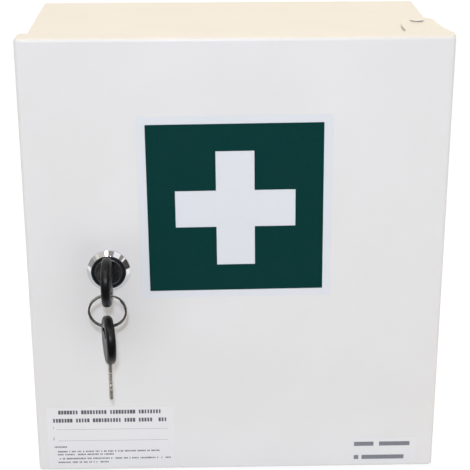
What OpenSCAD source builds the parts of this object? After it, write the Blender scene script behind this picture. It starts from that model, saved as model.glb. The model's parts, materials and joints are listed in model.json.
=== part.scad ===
// Wall-hung lockable medicine cabinet: a folded steel body, a tray-shaped door on two riveted
// pivots, and a wafer cam lock with its keys on a split ring.
// X runs to the right, Y away from the viewer and Z up. The origin is the middle of the four
// wall holes, on the plane of the wall.

/* [Body] */
// Width of the body
body_w = 256; // [220:1:340]
// Height of the body
body_h = 296; // [260:1:400]
// Depth from the wall to the face of the door
depth = 125; // [115:1:180]
// Thickness of the sheet steel
sheet = 1; // [0.8:0.1:1.5]
// Outer radius of the folds in the sheet
fold_r = 2.4; // [1.8:0.1:4]
// Width of the lip round the body's opening
lip_w = 12; // [10:1:16]
// Depth of the flange round the back panel
back_flange = 12; // [8:1:20]

/* [Wall fixing] */
// Distance between the wall holes from side to side
fix_x = 200; // [120:5:200]
// Distance between the wall holes from top to bottom
fix_z = 240; // [120:5:240]
// Diameter of a wall hole
fix_d = 7; // [5:0.5:9]

/* [Shelf] */
// Height of the shelf above the middle of the body
shelf_z = 24; // [-20:1:60]
// Distance from the shelf's front edge to the body's front edge
shelf_setback = 28.5; // [26:0.5:50]
// Height of the flange along the shelf's front edge
shelf_lip = 12; // [8:1:20]
// Width and height of the brackets that carry the shelf
bracket_leg = 12; // [8:1:20]

/* [Door] */
// How far the door stands out past the body on the lock side
lock_overhang = 5.3; // [4.5:0.1:8]
// How far the door stands out past the body on the hinge side
hinge_overhang = 8.7; // [8:0.1:11]
// Depth of the flange round the door
door_flange = 16; // [12:1:20]
// Gap between the door's flanges and the body's top and bottom
door_gap = 1; // [0.8:0.1:2]
// Gap between the body's front edge and the back of the door
face_gap = 3.5; // [3:0.1:5]
// Radius of the door's welded corners
corner_r = 1.4; // [1.2:0.1:3]
// Diameter of a rubber door buffer
buffer_d = 8; // [6:0.5:9]
// Distance of a buffer from the body's top or bottom
buffer_drop = 18; // [16:1:60]

/* [Hinge] */
// Distance from the door's face to the hinge pins
pin_back = 47; // [45:1:60]
// Distance from the body's side to the hinge pins
pin_inset = 8.5; // [8:0.5:12]
// Diameter of a hinge pin
pin_d = 5; // [4:0.5:6]
// Diameter of the head of a hinge pin
pin_head_d = 9.4; // [8.5:0.1:11]
// Height of the head of a hinge pin
pin_head_h = 1.7; // [1.2:0.1:3]
// Width of the ear that turns on a hinge pin
ear_w = 23; // [18:1:26]
// Thickness of the plate that stiffens the body at a hinge pin
hinge_plate_t = 2; // [1.5:0.5:3]
// Length of that plate along the body's depth
hinge_plate_l = 36; // [26:1:44]
// Distance from the pin to the inner edge of that plate
hinge_plate_side = 15; // [9:1:24]

/* [Signs] */
// Width of the white sign sheet
sign_w = 123; // [90:1:140]
// Height of the white sign sheet
sign_h = 122; // [90:1:140]
// Side of the green square
field_side = 112; // [60:1:112]
// Span of the white cross
cross_span = 76.5; // [40:0.5:100]
// Width of an arm of the cross
cross_arm = 24.5; // [10:0.5:30]
// Height of the sign's centre above the middle of the door
sign_z = 40; // [10:1:60]
// Distance from the lock's bezel to the sign
sign_gap = 6.4; // [2:0.1:20]
// How far the sign was stuck on out of square, in degrees
sign_turn = 0.5; // [0:0.1:2]
// Thickness of a sticker
film_t = 0.2; // [0.1:0.05:0.4]
// Width of the staff label
staff_w = 86; // [60:1:100]
// Height of the staff label
staff_h = 46.4; // [30:0.2:60]
// Distance of the staff label from the lock side of the door
staff_inset = 7; // [5:0.5:20]
// Width of the contents label
contents_w = 43.5; // [30:0.5:60]
// Height of the contents label
contents_h = 20; // [12:1:30]
// Distance of the contents label from the hinge side of the door
contents_inset = 11.5; // [6:0.5:30]
// Distance of the labels from the door's lower edge
label_rise = 2.6; // [2.6:0.2:8]

/* [Lock] */
// Distance from the lock side of the door to the lock
lock_inset = 52.8; // [50:0.1:56]
// Distance of the lock below the middle of the door
lock_drop = 1.5; // [-20:0.5:20]
// Diameter of the threaded lock housing
housing_d = 18.8; // [18:0.1:20]
// Distance between the two flats of the housing
housing_flats = 16.4; // [15.5:0.1:17]
// Length of the housing behind the door's face
housing_len = 23.5; // [20:0.5:26]
// Diameter of the chrome bezel
bezel_d = 28; // [26:0.5:34]
// Height of the chrome bezel
bezel_h = 4.3; // [3:0.1:5]
// Diameter of the head of the housing
head_d = 21.4; // [21:0.1:23]
// Width of the black face ring
face_ring_w = 1.6; // [1.4:0.1:2]
// Diameter of the lock plug
plug_d = 14; // [13.5:0.1:14.5]
// Height of the plug's face above the door
plug_face = 4.5; // [4:0.1:5]
// Width across the flats of the lock nut
nut_af = 24; // [22:0.5:27]
// Thickness of the lock nut
nut_t = 4.5; // [3:0.1:5]
// Thickness of the washer under the nut
washer_t = 0.8; // [0.5:0.1:1]
// Side of the square end of the plug
square_w = 8; // [7:0.1:9]
// Thickness of a wafer
wafer_t = 0.9; // [0.6:0.1:1.2]
// Width of a wafer
wafer_w = 5.8; // [5:0.1:6.5]

/* [Cam] */
// Distance from the lock's axis to the end of the cam
cam_reach = 41.5; // [38:0.5:44]
// Width of the cam
cam_w = 13; // [10:1:16]
// Thickness of the cam
cam_t = 2.5; // [2:0.1:3]
// How far the cam is cranked towards the door
cam_crank = 15; // [11:0.5:16]
// Diameter of the cam screw
cam_screw_d = 4; // [3:0.5:5]

/* [Keys] */
// Diameter of the plastic bow of a key
bow_d = 31.5; // [28:0.5:34]
// Thickness of the bow
bow_t = 6; // [5:0.2:7]
// Rounding of the bow's rim
bow_round = 2.3; // [1.5:0.1:2.3]
// Width of the curved slot in the bow
slot_w = 5; // [4.6:0.1:5.4]
// Distance from the bow's centre to the middle of its slot
slot_r = 8.6; // [8.2:0.1:9.5]
// Half of the angle that the slot spans, without its round ends
slot_half = 45; // [38:1:50]
// Width of the blade
blade_w = 6.6; // [6:0.1:7.5]
// Thickness of the blade
blade_t = 1.8; // [1.6:0.1:2.2]
// Length of the blade inside the bow
tang_len = 9; // [6:0.5:10]
// Depth step between two cuts of the blade
cut_step = 0.45; // [0.3:0.05:0.5]
// Distance between two cuts of the blade
cut_pitch = 3; // [2.8:0.1:3.2]
// Turn of the spare key about the vertical, in degrees
spare_turn = 11; // [0:1:15]

/* [Key ring] */
// Outer diameter of the split ring
ring_d = 25; // [24:0.5:28]
// Width of the ring's wire, measured from the ring's centre outwards
wire_w = 1.4; // [1:0.1:1.5]
// Thickness of the ring's wire, measured along the ring's axis
wire_t = 1; // [0.8:0.1:1]
// Gap between the two turns of the ring
turn_gap = 0.48; // [0.45:0.01:0.6]
// Lean of the ring towards the door, in degrees
ring_lean = 10; // [5:1:14]

/* [Hidden] */
$fn = 64;

// Clearances: of a turning fit, of a piece that is fixed in its seat, and of a seated pad
run_fit = 0.05;
still_fit = 0.1;
seat_gap = 0.3;
// A cut runs this far past the faces that it opens
past = 1;
// Steps in a quarter of a fold or rim
fold_steps = 6;

// Body and door
body_x = body_w / 2;
body_z = body_h / 2;
body_front = -depth + sheet + face_gap;
door_x0 = -body_x - lock_overhang;
door_x1 = body_x + hinge_overhang;
door_z = body_z + door_gap + sheet;
door_front = -depth;
door_back = door_front + door_flange;
shelf_front = body_front + shelf_setback;
shelf_x = body_x - 2 * sheet - 0.5;
bracket_y = [shelf_front + fold_r + 1, -back_flange - 2];
buffer_t = face_gap - seat_gap;
buffer_inset = lip_w / 2;
buffer_z = body_z - buffer_drop;

// Hinge
pin_x = body_x - pin_inset;
pin_y = door_front + pin_back;
pin_r = pin_d / 2;
pin_tail_r = pin_r + 1.1;
pin_tail_h = 1.5;
head_play = 0.1;
washer_play = 0.1;
hinge_washer_r = 6.5;
ear_r = ear_w / 2;
plate_front = pin_y - hinge_plate_l / 2;
plate_back = pin_y + hinge_plate_l / 2;
plate_left = pin_x - hinge_plate_side;
plate_right = body_x - fold_r - still_fit;

// Lock, measured from the door's face along the lock's axis, outwards positive
lock_x = door_x0 + lock_inset;
lock_z = -lock_drop;
housing_r = housing_d / 2;
head_r = head_d / 2;
plug_r = plug_d / 2;
plug_head_r = head_r - face_ring_w - run_fit;
bezel_lip = 0.8;
head_top = bezel_h - 0.5;
head_floor = 1.6;
ring_top = head_top + 1;
nut_face = -sheet - washer_t;
keyway_w = blade_t + 0.3;
keyway_h = blade_w + 0.2;
channel_w = wafer_w + 0.4;
channel_r = plug_r + 1.1;
cam_front = -housing_len - 0.4;
cam_back = cam_front - cam_t;
cam_washer_t = 0.8;
cam_washer_r = 7;
cam_screw_r = cam_screw_d / 2;
screw_head_r = 3.8;
screw_head_h = 2.5;
screw_depth = 3.9;
cam_bend = 12;
cam_hub_r = 8.5;
cam_end_r = cam_w / 2;

// Sign, beside the bezel
sign_x = lock_x + bezel_d / 2 + sign_gap + sign_w / 2;

// Keys: the blade ends short of the screw in the end of the plug
bow_play = 0.35;
tip_play = 0.35;
bow_r = bow_d / 2;
bow_out = plug_face + bow_play + bow_r;
blade_len = plug_face + bow_play - cam_back - screw_depth - tip_play;
cuts = [2, 4, 1, 3, 2];
first_cut = 5.5;
cut_flat = 0.55;
cut_ramp = 0.6;
groove_w = 1.4;
groove_d = 0.45;
keyway_end = cam_back + screw_depth + still_fit;

// Split ring: one wire, two turns, and a step from the first turn to the second
ring_r = ring_d / 2 - wire_w / 2;
turn_pitch = wire_t + turn_gap;
step_half = 26;
ring_t0 = step_half + 6;
ring_t1 = 720 - ring_t0;
ring_sections = 56;
wire_sides = 8;
wire_drop = 0.4;
seat_play = 0.9;
spare_seat = slot_r + slot_w / 2 - wire_w / 2 - seat_play;
top_wire_y = door_front - bow_out - slot_r * cos(slot_half);
top_wire = [lock_x, top_wire_y, lock_z - slot_r * sin(slot_half) - wire_drop];
hang = [0, sin(ring_lean), -cos(ring_lean)];
ring_centre = top_wire + ring_r * hang;
low_wire = top_wire + 2 * ring_r * hang;

// Points of an arc round c, from angle a0 to angle a1
function arc(c, r, a0, a1, n = fold_steps) =
    [for (i = [0:n]) let (a = a0 + (a1 - a0) * i / n) [c[0] + r * cos(a), c[1] + r * sin(a)]];

// Outline of a rectangle with four round corners
function round_rect(x0, y0, x1, y1, r) = concat(
    arc([x1 - r, y0 + r], r, -90, 0),
    arc([x1 - r, y1 - r], r, 0, 90),
    arc([x0 + r, y1 - r], r, 90, 180),
    arc([x0 + r, y0 + r], r, 180, 270));

// Outline whose two corners at the lower y are round
function front_round(x0, y0, x1, y1, r) = concat(
    arc([x0 + r, y0 + r], r, 180, 270),
    arc([x1 - r, y0 + r], r, 270, 360),
    [[x1, y1], [x0, y1]]);

// Extrusions along each axis: children are drawn in (Y, Z), (X, Z) and (X, Y)
module along_x(x0, x1) {
    translate([x0, 0, 0]) rotate([90, 0, 90]) linear_extrude(x1 - x0) children();
}

module along_y(y0, y1) {
    translate([0, y1, 0]) rotate([90, 0, 0]) linear_extrude(y1 - y0) children();
}

module along_z(z0, z1) {
    translate([0, 0, z0]) linear_extrude(z1 - z0) children();
}

// Block with folds of radius r round its front face and of radius r_side along its depth
module folded_block(x0, x1, y0, y1, z, r, r_side) {
    intersection() {
        along_y(y0, y1) polygon(round_rect(x0, -z, x1, z, r_side));
        along_z(-z, z) polygon(front_round(x0, y0, x1, y1, r));
        along_x(x0, x1) polygon([for (p = front_round(-z, y0, z, y1, r)) [p[1], p[0]]]);
    }
}

// Round hole or pin along Z through the pivots
module pivot(r, z0, z1) {
    translate([pin_x, pin_y, z0]) cylinder(r = r, h = z1 - z0);
}

// Puts a piece on the lock's axis: its Z runs out of the door
module on_lock() {
    translate([lock_x, door_front, lock_z]) rotate([90, 0, 0]) children();
}

// Flat ring on the lock's axis
module washer(r_in, r_out, z0, z1) {
    translate([0, 0, z0]) difference() {
        cylinder(r = r_out, h = z1 - z0);
        translate([0, 0, -past]) cylinder(r = r_in, h = z1 - z0 + 2 * past);
    }
}

// Body wrap: top, bottom and sides, with the lip round the opening
module cabinet_shell() {
    color("#f1eee6") difference() {
        folded_block(-body_x, body_x, body_front, 0, body_z, fold_r / 2, fold_r);
        folded_block(-body_x + sheet, body_x - sheet, body_front + sheet, past, body_z - sheet,
            fold_r / 4, fold_r - sheet);
        along_y(body_front - past, body_front + sheet + past)
            polygon(round_rect(-body_x + lip_w, -body_z + lip_w, body_x - lip_w, body_z - lip_w, fold_r));
        pivot(pin_r + run_fit, -body_z - past, body_z + past);
    }
}

// Back panel with its flange, spot-welded inside the wrap
module back_panel() {
    x = body_x - sheet - still_fit;
    z = body_z - sheet - still_fit;
    color("#eeebe3") difference() {
        along_y(-back_flange, 0) polygon(round_rect(-x, -z, x, z, fold_r - sheet));
        along_y(-back_flange - past, -sheet)
            polygon(round_rect(-x + sheet, -z + sheet, x - sheet, z - sheet, fold_r / 2));
        for (sx = [-1, 1], sz = [-1, 1]) {
            translate([sx * fix_x / 2, past, sz * fix_z / 2]) rotate([90, 0, 0])
                cylinder(d = fix_d, h = sheet + 2 * past);
        }
    }
}

// Shelf plate with its front edge folded down
module shelf() {
    outer = fold_r;
    color("#efece4") along_x(-shelf_x, shelf_x) polygon(concat(
        [[-sheet - still_fit, shelf_z], [-sheet - still_fit, shelf_z + sheet]],
        arc([shelf_front + outer, shelf_z + sheet - outer], outer, 90, 180),
        [[shelf_front, shelf_z + sheet - shelf_lip], [shelf_front + sheet, shelf_z + sheet - shelf_lip]],
        arc([shelf_front + outer, shelf_z + sheet - outer], outer - sheet, 180, 90)));
}

// Angle bracket on the side wall: side is -1 on the left and 1 on the right
module shelf_bracket(side) {
    wall = body_x - sheet;
    color("#edeae2") along_y(bracket_y[0], bracket_y[1]) polygon([
        [side * wall, shelf_z],
        [side * (wall - bracket_leg), shelf_z],
        [side * (wall - bracket_leg), shelf_z - sheet],
        [side * (wall - sheet), shelf_z - sheet],
        [side * (wall - sheet), shelf_z - bracket_leg],
        [side * wall, shelf_z - bracket_leg]]);
}

// Plate inside the wrap that spreads the load of a pin: it is drawn for the top
module hinge_plate() {
    top = body_z - sheet;
    color("#c9cac9") difference() {
        along_z(top - hinge_plate_t, top)
            polygon(round_rect(plate_left, plate_front, plate_right, plate_back, 3));
        pivot(pin_r + run_fit, top - hinge_plate_t - past, top + past);
    }
}

// Riveted pin: head above the ear, shank through ear, washer, wrap and plate, and a formed tail
module hinge_pin() {
    seat = door_z + head_play;
    foot = body_z - sheet - hinge_plate_t;
    head_r0 = pin_head_d / 2;
    color("#d9d4c8") translate([pin_x, pin_y, 0]) rotate_extrude() polygon([
        [0, foot - pin_tail_h],
        [pin_tail_r - 0.5, foot - pin_tail_h],
        [pin_tail_r, foot - pin_tail_h + 0.5],
        [pin_tail_r, foot],
        [pin_r, foot],
        [pin_r, seat],
        [head_r0, seat],
        [head_r0, seat + pin_head_h * 0.35],
        [head_r0 * 0.86, seat + pin_head_h * 0.72],
        [head_r0 * 0.6, seat + pin_head_h * 0.94],
        [0, seat + pin_head_h]]);
}

// Plastic washer that the ear turns on
module hinge_washer() {
    top = door_z - sheet - washer_play;
    color("#dcdad2") difference() {
        pivot(hinge_washer_r, body_z, top);
        pivot(pin_r + still_fit, body_z - past, top + past);
    }
}

// Rubber pads on the lip, at the lock side
module door_buffers() {
    color("#3a3a3a") for (sz = [-1, 1]) {
        translate([-body_x + buffer_inset, body_front, sz * buffer_z]) rotate([90, 0, 0])
            cylinder(d = buffer_d, h = buffer_t);
    }
}

// Ear of the door that lies over the body and turns on the pin: its plan is drawn in (X, Y)
function ear_outline() = concat(
    [[pin_x - ear_r, door_back - past]],
    [[door_x1 - fold_r, door_back - past]],
    [[door_x1, door_back]],
    [[door_x1 - 1.5, door_back + 3]],
    [[(door_x1 - 1.5 + pin_x + ear_r) / 2 - 0.6, (door_back + pin_y) / 2]],
    arc([pin_x, pin_y], ear_r, 0, 180, 16));

// Tray of the door: one folded sheet with an ear at each end of the hinge side
module door_panel() {
    color("#e6e7e9") difference() {
        union() {
            difference() {
                folded_block(door_x0, door_x1, door_front, door_back, door_z, fold_r, corner_r);
                folded_block(door_x0 + sheet, door_x1 - sheet, door_front + sheet, door_back + past,
                    door_z - sheet, fold_r - sheet, corner_r - sheet + 0.2);
            }
            along_z(door_z - sheet, door_z) polygon(ear_outline());
            along_z(-door_z, -door_z + sheet) polygon(ear_outline());
        }
        pivot(pin_r + run_fit, -door_z - past, door_z + past);
        on_lock() translate([0, 0, -sheet - past]) intersection() {
            cylinder(r = housing_r + still_fit, h = sheet + 2 * past);
            translate([-housing_flats / 2 - still_fit, -housing_r - past, 0])
                cube([housing_flats + 2 * still_fit, 2 * (housing_r + past), sheet + 2 * past]);
        }
    }
}

// Puts the sign's drawing on the door's face, raised by a number of films
module on_sign(lift) {
    translate([sign_x, door_front - lift, sign_z]) rotate([0, -sign_turn, 0])
        rotate([90, 0, 0]) linear_extrude(film_t) children();
}

// White sheet of the sign
module sign_sheet() {
    color("#e9e9ea") on_sign(0) polygon(round_rect(-sign_w / 2, -sign_h / 2, sign_w / 2, sign_h / 2, 1));
}

// Green square of the sign, with the cross left open so that the white sheet shows
module sign_field() {
    color("#0b3b35") on_sign(film_t) difference() {
        square(field_side, center = true);
        square([cross_span, cross_arm], center = true);
        square([cross_arm, cross_span], center = true);
    }
}

// Sticker on the lower edge of the door, from x0 to x1
module label(x0, x1, h) {
    z0 = -door_z + label_rise;
    along_y(door_front - film_t, door_front) polygon(round_rect(x0, z0, x1, z0 + h, 0.8));
}

// Ruled label for the names of the staff
module staff_label() {
    color("#ebeae8") label(door_x0 + staff_inset, door_x0 + staff_inset + staff_w, staff_h);
}

// Small label for the contents
module contents_label() {
    color("#e4e4e4") label(door_x1 - contents_inset - contents_w, door_x1 - contents_inset, contents_h);
}

// Die-cast housing: head, body with two flats, bore with a counterbore and two wafer channels
module lock_housing() {
    color("#9fa2a4") on_lock() difference() {
        union() {
            intersection() {
                translate([0, 0, -housing_len]) cylinder(r = housing_r, h = housing_len + bezel_lip);
                translate([-housing_flats / 2, -housing_r - past, -housing_len])
                    cube([housing_flats, 2 * (housing_r + past), housing_len + bezel_lip]);
            }
            translate([0, 0, bezel_lip]) cylinder(r = head_r, h = head_top - bezel_lip);
        }
        translate([0, 0, -housing_len - past])
            cylinder(r = plug_r + run_fit, h = housing_len + bezel_h + past);
        translate([0, 0, head_floor]) cylinder(r = plug_head_r + run_fit, h = bezel_h);
        translate([-channel_w / 2, -channel_r, -housing_len + 3])
            cube([channel_w, 2 * channel_r, housing_len - 4]);
    }
}

// Chrome bezel: a cone whose inner lip is held between the housing's head and the door
module lock_bezel() {
    color("#c8cbce") on_lock() rotate_extrude() polygon([
        [housing_r + still_fit, 0],
        [bezel_d / 2, 0],
        [bezel_d / 2, 0.5],
        [head_r + 0.7, bezel_h],
        [head_r + still_fit, bezel_h],
        [head_r + still_fit, bezel_lip],
        [housing_r + still_fit, bezel_lip]]);
}

// Black ring on the front of the housing's head
module lock_face_ring() {
    inner = plug_head_r + 2 * run_fit;
    color("#1d1d1f") on_lock() rotate_extrude() polygon([
        [inner, head_top],
        [head_r, head_top],
        [head_r, ring_top - 0.3],
        [head_r - 0.3, ring_top],
        [inner + 0.3, ring_top],
        [inner, ring_top - 0.3]]);
}

// Washer between the door and the nut
module lock_washer() {
    color("#b5b7b8") on_lock() washer(housing_r + still_fit, nut_af / 2 + 1, nut_face, -sheet);
}

// Hexagon nut that clamps the housing
module lock_nut() {
    corner = nut_af / 2 / cos(30);
    bevel = 0.8;
    color("#a9a08a") on_lock() translate([0, 0, nut_face - nut_t]) difference() {
        intersection() {
            cylinder(r = corner, h = nut_t, $fn = 6);
            rotate_extrude() polygon([
                [0, 0],
                [corner - bevel, 0],
                [corner + past, bevel + past],
                [corner + past, nut_t],
                [0, nut_t]]);
        }
        translate([0, 0, -past]) cylinder(r = housing_r + run_fit, h = nut_t + 2 * past);
    }
}

// Place of each wafer along the lock's axis, lined up with the cuts of the key
function wafer_place(i) = bow_out - bow_r - first_cut - i * cut_pitch;

// Plug: head, barrel, square end, keyway, wafer slots and the hole for the cam screw
module lock_plug() {
    color("#8d9092") on_lock() difference() {
        union() {
            rotate_extrude() polygon([
                [0, -housing_len],
                [plug_r, -housing_len],
                [plug_r, head_floor + run_fit],
                [plug_head_r, head_floor + run_fit],
                [plug_head_r, plug_face - 0.4],
                [plug_head_r - 0.4, plug_face],
                [plug_head_r - 1.2, plug_face],
                [plug_head_r - 1.6, plug_face - 0.4],
                [0, plug_face - 0.4]]);
            translate([-square_w / 2, -square_w / 2, cam_back + 0.2])
                cube([square_w, square_w, -housing_len - cam_back]);
        }
        translate([-keyway_w / 2, -keyway_h / 2, keyway_end])
            cube([keyway_w, keyway_h, plug_face + past - keyway_end]);
        for (i = [0:len(cuts) - 1]) {
            translate([-wafer_w / 2 - still_fit, -plug_d, wafer_place(i) - wafer_t / 2 - run_fit])
                cube([wafer_w + 2 * still_fit, 2 * plug_d, wafer_t + 2 * run_fit]);
        }
        translate([0, 0, cam_back - past]) cylinder(r = cam_screw_r, h = screw_depth + past);
    }
}

// Wafers: flat plates with a window for the blade, flush with the barrel while the key is in
module lock_wafers() {
    color("#c3a35a") on_lock() for (i = [0:len(cuts) - 1]) {
        translate([0, 0, wafer_place(i) - wafer_t / 2]) difference() {
            intersection() {
                cylinder(r = plug_r - run_fit, h = wafer_t);
                translate([-wafer_w / 2, -plug_r, 0]) cube([wafer_w, plug_d, wafer_t]);
            }
            translate([-keyway_w / 2 - still_fit, -keyway_h / 2 - still_fit, -past])
                cube([keyway_w + 2 * still_fit, keyway_h + 2 * still_fit, wafer_t + 2 * past]);
        }
    }
}

// Side view of the cranked cam: distance from the axis, then place along the axis
function cam_profile() =
    let (shift = cam_t * tan(22.5), rise = cam_bend + cam_crank)
    [
        [-cam_hub_r - past, cam_front],
        [cam_bend, cam_front],
        [rise, cam_front + cam_crank],
        [cam_reach + past, cam_front + cam_crank],
        [cam_reach + past, cam_back + cam_crank],
        [rise + shift, cam_back + cam_crank],
        [cam_bend + shift, cam_back],
        [-cam_hub_r - past, cam_back]
    ];

// Plan of the cam: a round hub and an arm with a round end, pointing down
function cam_plan() = concat(
    arc([0, 0], cam_hub_r, -40, 220, 20),
    arc([0, -cam_reach + cam_end_r], cam_end_r, 180, 360, 12));

// Cam, hanging down: this is the open position, and a quarter turn takes it behind the lip
module lock_cam() {
    color("#b9bcbd") on_lock() difference() {
        intersection() {
            translate([0, 0, cam_back - past])
                linear_extrude(cam_crank + cam_t + 2 * past) polygon(cam_plan());
            translate([-cam_hub_r - past, 0, 0]) rotate([90, 0, 90]) linear_extrude(2 * (cam_hub_r + past))
                polygon([for (p = cam_profile()) [-p[0], p[1]]]);
        }
        translate([-square_w / 2 - run_fit, -square_w / 2 - run_fit, cam_back - past])
            cube([square_w + 2 * run_fit, square_w + 2 * run_fit, cam_t + 2 * past]);
    }
}

// Washer that clamps the cam on the square end
module cam_washer() {
    color("#b5b7b8") on_lock()
        washer(cam_screw_r + still_fit, cam_washer_r, cam_back - cam_washer_t, cam_back);
}

// Pan-head screw in the end of the plug
module cam_screw() {
    seat = cam_back - cam_washer_t;
    color("#a8abad") on_lock() difference() {
        rotate_extrude() polygon([
            [0, seat - screw_head_h],
            [screw_head_r - 1, seat - screw_head_h],
            [screw_head_r, seat - screw_head_h + 1],
            [screw_head_r, seat],
            [cam_screw_r - run_fit, seat],
            [cam_screw_r - run_fit, cam_back + screw_depth - 0.4],
            [0, cam_back + screw_depth - 0.4]]);
        for (turn = [0, 90]) {
            rotate([0, 0, turn]) translate([-2, -0.4, seat - screw_head_h - past]) cube([4, 0.8, past + 1.3]);
        }
    }
}

// A key is drawn with its bow's centre at the origin, its blade along -Y and its faces along Z

// Curved slot of the bow, concentric with the rim
function slot_outline() =
    let (r0 = slot_r - slot_w / 2, r1 = slot_r + slot_w / 2, a0 = 90 - slot_half, a1 = 90 + slot_half)
    concat(
        arc([0, 0], r1, a0, a1, 12),
        arc([slot_r * cos(a1), slot_r * sin(a1)], slot_w / 2, a1, a1 + 180, 8),
        arc([0, 0], r0, a1, a0, 12),
        arc([slot_r * cos(a0), slot_r * sin(a0)], slot_w / 2, a0 + 180, a0 + 360, 8));

// Moulded bow with a round rim, the slot and the pocket that holds the tang
module bow() {
    half = bow_t / 2;
    color("#1b1c1e") difference() {
        rotate_extrude() polygon(concat(
            [[0, -half]],
            arc([bow_r - bow_round, -half + bow_round], bow_round, -90, 0, 5),
            arc([bow_r - bow_round, half - bow_round], bow_round, 0, 90, 5),
            [[0, half]]));
        translate([0, 0, -bow_t]) linear_extrude(2 * bow_t) polygon(slot_outline());
        translate([-blade_w / 2, -bow_r - past, -blade_t / 2]) cube([blade_w, tang_len + past, blade_t]);
    }
}

// One edge of the blade, from the bow to the tip: distance from the middle, then distance from the bow
function cut_edge() = [
    for (i = [0:len(cuts) - 1])
        let (at = first_cut + i * cut_pitch, low = blade_w / 2 - cuts[i] * cut_step)
        each [
            [blade_w / 2, at - cut_flat - cut_ramp],
            [low, at - cut_flat],
            [low, at + cut_flat],
            [blade_w / 2, at + cut_flat + cut_ramp]
        ]
];

// Outline of the blade: tang, cut edges and a pointed tip
function blade_outline() =
    let (edge = cut_edge(), n = len(edge))
    concat(
        [[blade_w / 2, -tang_len]],
        edge,
        [[blade_w / 2, blade_len - 2], [1.2, blade_len], [-1.2, blade_len], [-blade_w / 2, blade_len - 2]],
        [for (i = [1:n]) [-edge[n - i][0], edge[n - i][1]]],
        [[-blade_w / 2, -tang_len]]);

// Blade cut on both edges, with a groove along each face
module blade() {
    color("#b9b4a6") difference() {
        translate([0, 0, -blade_t / 2]) linear_extrude(blade_t)
            polygon([for (p = blade_outline()) [p[0], -bow_r - p[1]]]);
        for (side = [-1, 1]) {
            translate([side * 0.8 - groove_w / 2, -bow_r - blade_len - past, side * blade_t / 2 - groove_d])
                cube([groove_w, blade_len - 0.5 + past, 2 * groove_d]);
        }
    }
}

// Key in the lock: bow outwards, faces to the left and right
module in_lock() {
    translate([lock_x, door_front - bow_out, lock_z]) rotate([180, 0, 0]) rotate([0, 90, 0]) children();
}

// Spare key, hanging from the lower side of the ring
module on_ring() {
    translate(low_wire - [0, 0, spare_seat]) rotate([0, 0, spare_turn]) rotate([90, 0, 90]) children();
}

module key_bow() {
    in_lock() bow();
}

module key_blade() {
    in_lock() blade();
}

module spare_key_bow() {
    on_ring() bow();
}

module spare_key_blade() {
    on_ring() blade();
}

// Place along the ring's axis of the wire's centre after it has turned through angle t
function wire_shift(t) =
    let (u = min(max((t - 360 + step_half) / (2 * step_half), 0), 1))
    turn_pitch * (u * u * (3 - 2 * u) - 0.5);

// Angles of the sections along the wire
function wire_angle(i) = ring_t0 + (ring_t1 - ring_t0) * i / (ring_sections - 1);

// Centre of the wire at angle t, in the ring's own plane
function wire_centre(t) = [ring_r * cos(t), ring_r * sin(t), wire_shift(t)];

// One section of the wire at angle t
function wire_section(t) = [
    for (k = [0:wire_sides - 1])
        let (a = 360 * k / wire_sides, r = ring_r + wire_w / 2 * cos(a))
        [r * cos(t), r * sin(t), wire_shift(t) + wire_t / 2 * sin(a)]
];

// Least gap between the two turns, on the centres of the sections
function turn_clearance() = min([
    for (i = [0:ring_sections - 1], j = [i + 1:ring_sections - 1])
        if (wire_angle(j) - wire_angle(i) > 180)
            norm(wire_centre(wire_angle(i)) - wire_centre(wire_angle(j))) - wire_t
]);

// Split ring: one wire wound twice, with its ends on either side of the step
module key_ring() {
    echo("least gap between the turns of the key ring in mm", turn_clearance());
    n = ring_sections;
    m = wire_sides;
    points = [for (i = [0:n - 1]) each wire_section(wire_angle(i))];
    walls = [
        for (i = [0:n - 2], k = [0:m - 1])
            let (a = i * m + k, b = i * m + (k + 1) % m)
            each [[a, b + m, a + m], [a, b, b + m]]
    ];
    ends = concat(
        [for (k = [1:m - 2]) [0, k + 1, k]],
        [for (k = [1:m - 2]) [(n - 1) * m, (n - 1) * m + k, (n - 1) * m + k + 1]]);
    color("#b4b2ad") translate(ring_centre) rotate([90 + ring_lean, 0, 0]) rotate([0, 0, 75])
        polyhedron(points, concat(walls, ends));
}

cabinet_shell();
back_panel();
shelf();
shelf_bracket(-1);  // shelf_bracket_left
shelf_bracket(1);  // shelf_bracket_right
hinge_plate();  // hinge_plate_upper
mirror([0, 0, 1]) hinge_plate();  // hinge_plate_lower
hinge_pin();  // hinge_pin_upper
mirror([0, 0, 1]) hinge_pin();  // hinge_pin_lower
hinge_washer();  // hinge_washer_upper
mirror([0, 0, 1]) hinge_washer();  // hinge_washer_lower
door_buffers();
door_panel();
sign_sheet();
sign_field();
staff_label();
contents_label();
lock_housing();
lock_bezel();
lock_face_ring();
lock_washer();
lock_nut();
lock_plug();
lock_wafers();
lock_cam();
cam_washer();
cam_screw();
key_blade();
key_bow();
key_ring();
spare_key_blade();
spare_key_bow();
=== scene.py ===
"""Looks of a wall-hung lockable medicine cabinet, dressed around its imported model.

Every piece is built in the row frame: X runs to the right, Y away from the viewer and Z up,
with the origin in the middle of the four wall holes. Sizes are in millimetres until a mesh
is made, which is in metres.
"""

import json
import logging
import math
from dataclasses import dataclass, field
from enum import Enum
from typing import Any, Iterable, Sequence

import bmesh
import bpy
from mathutils import Matrix, Vector


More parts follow.
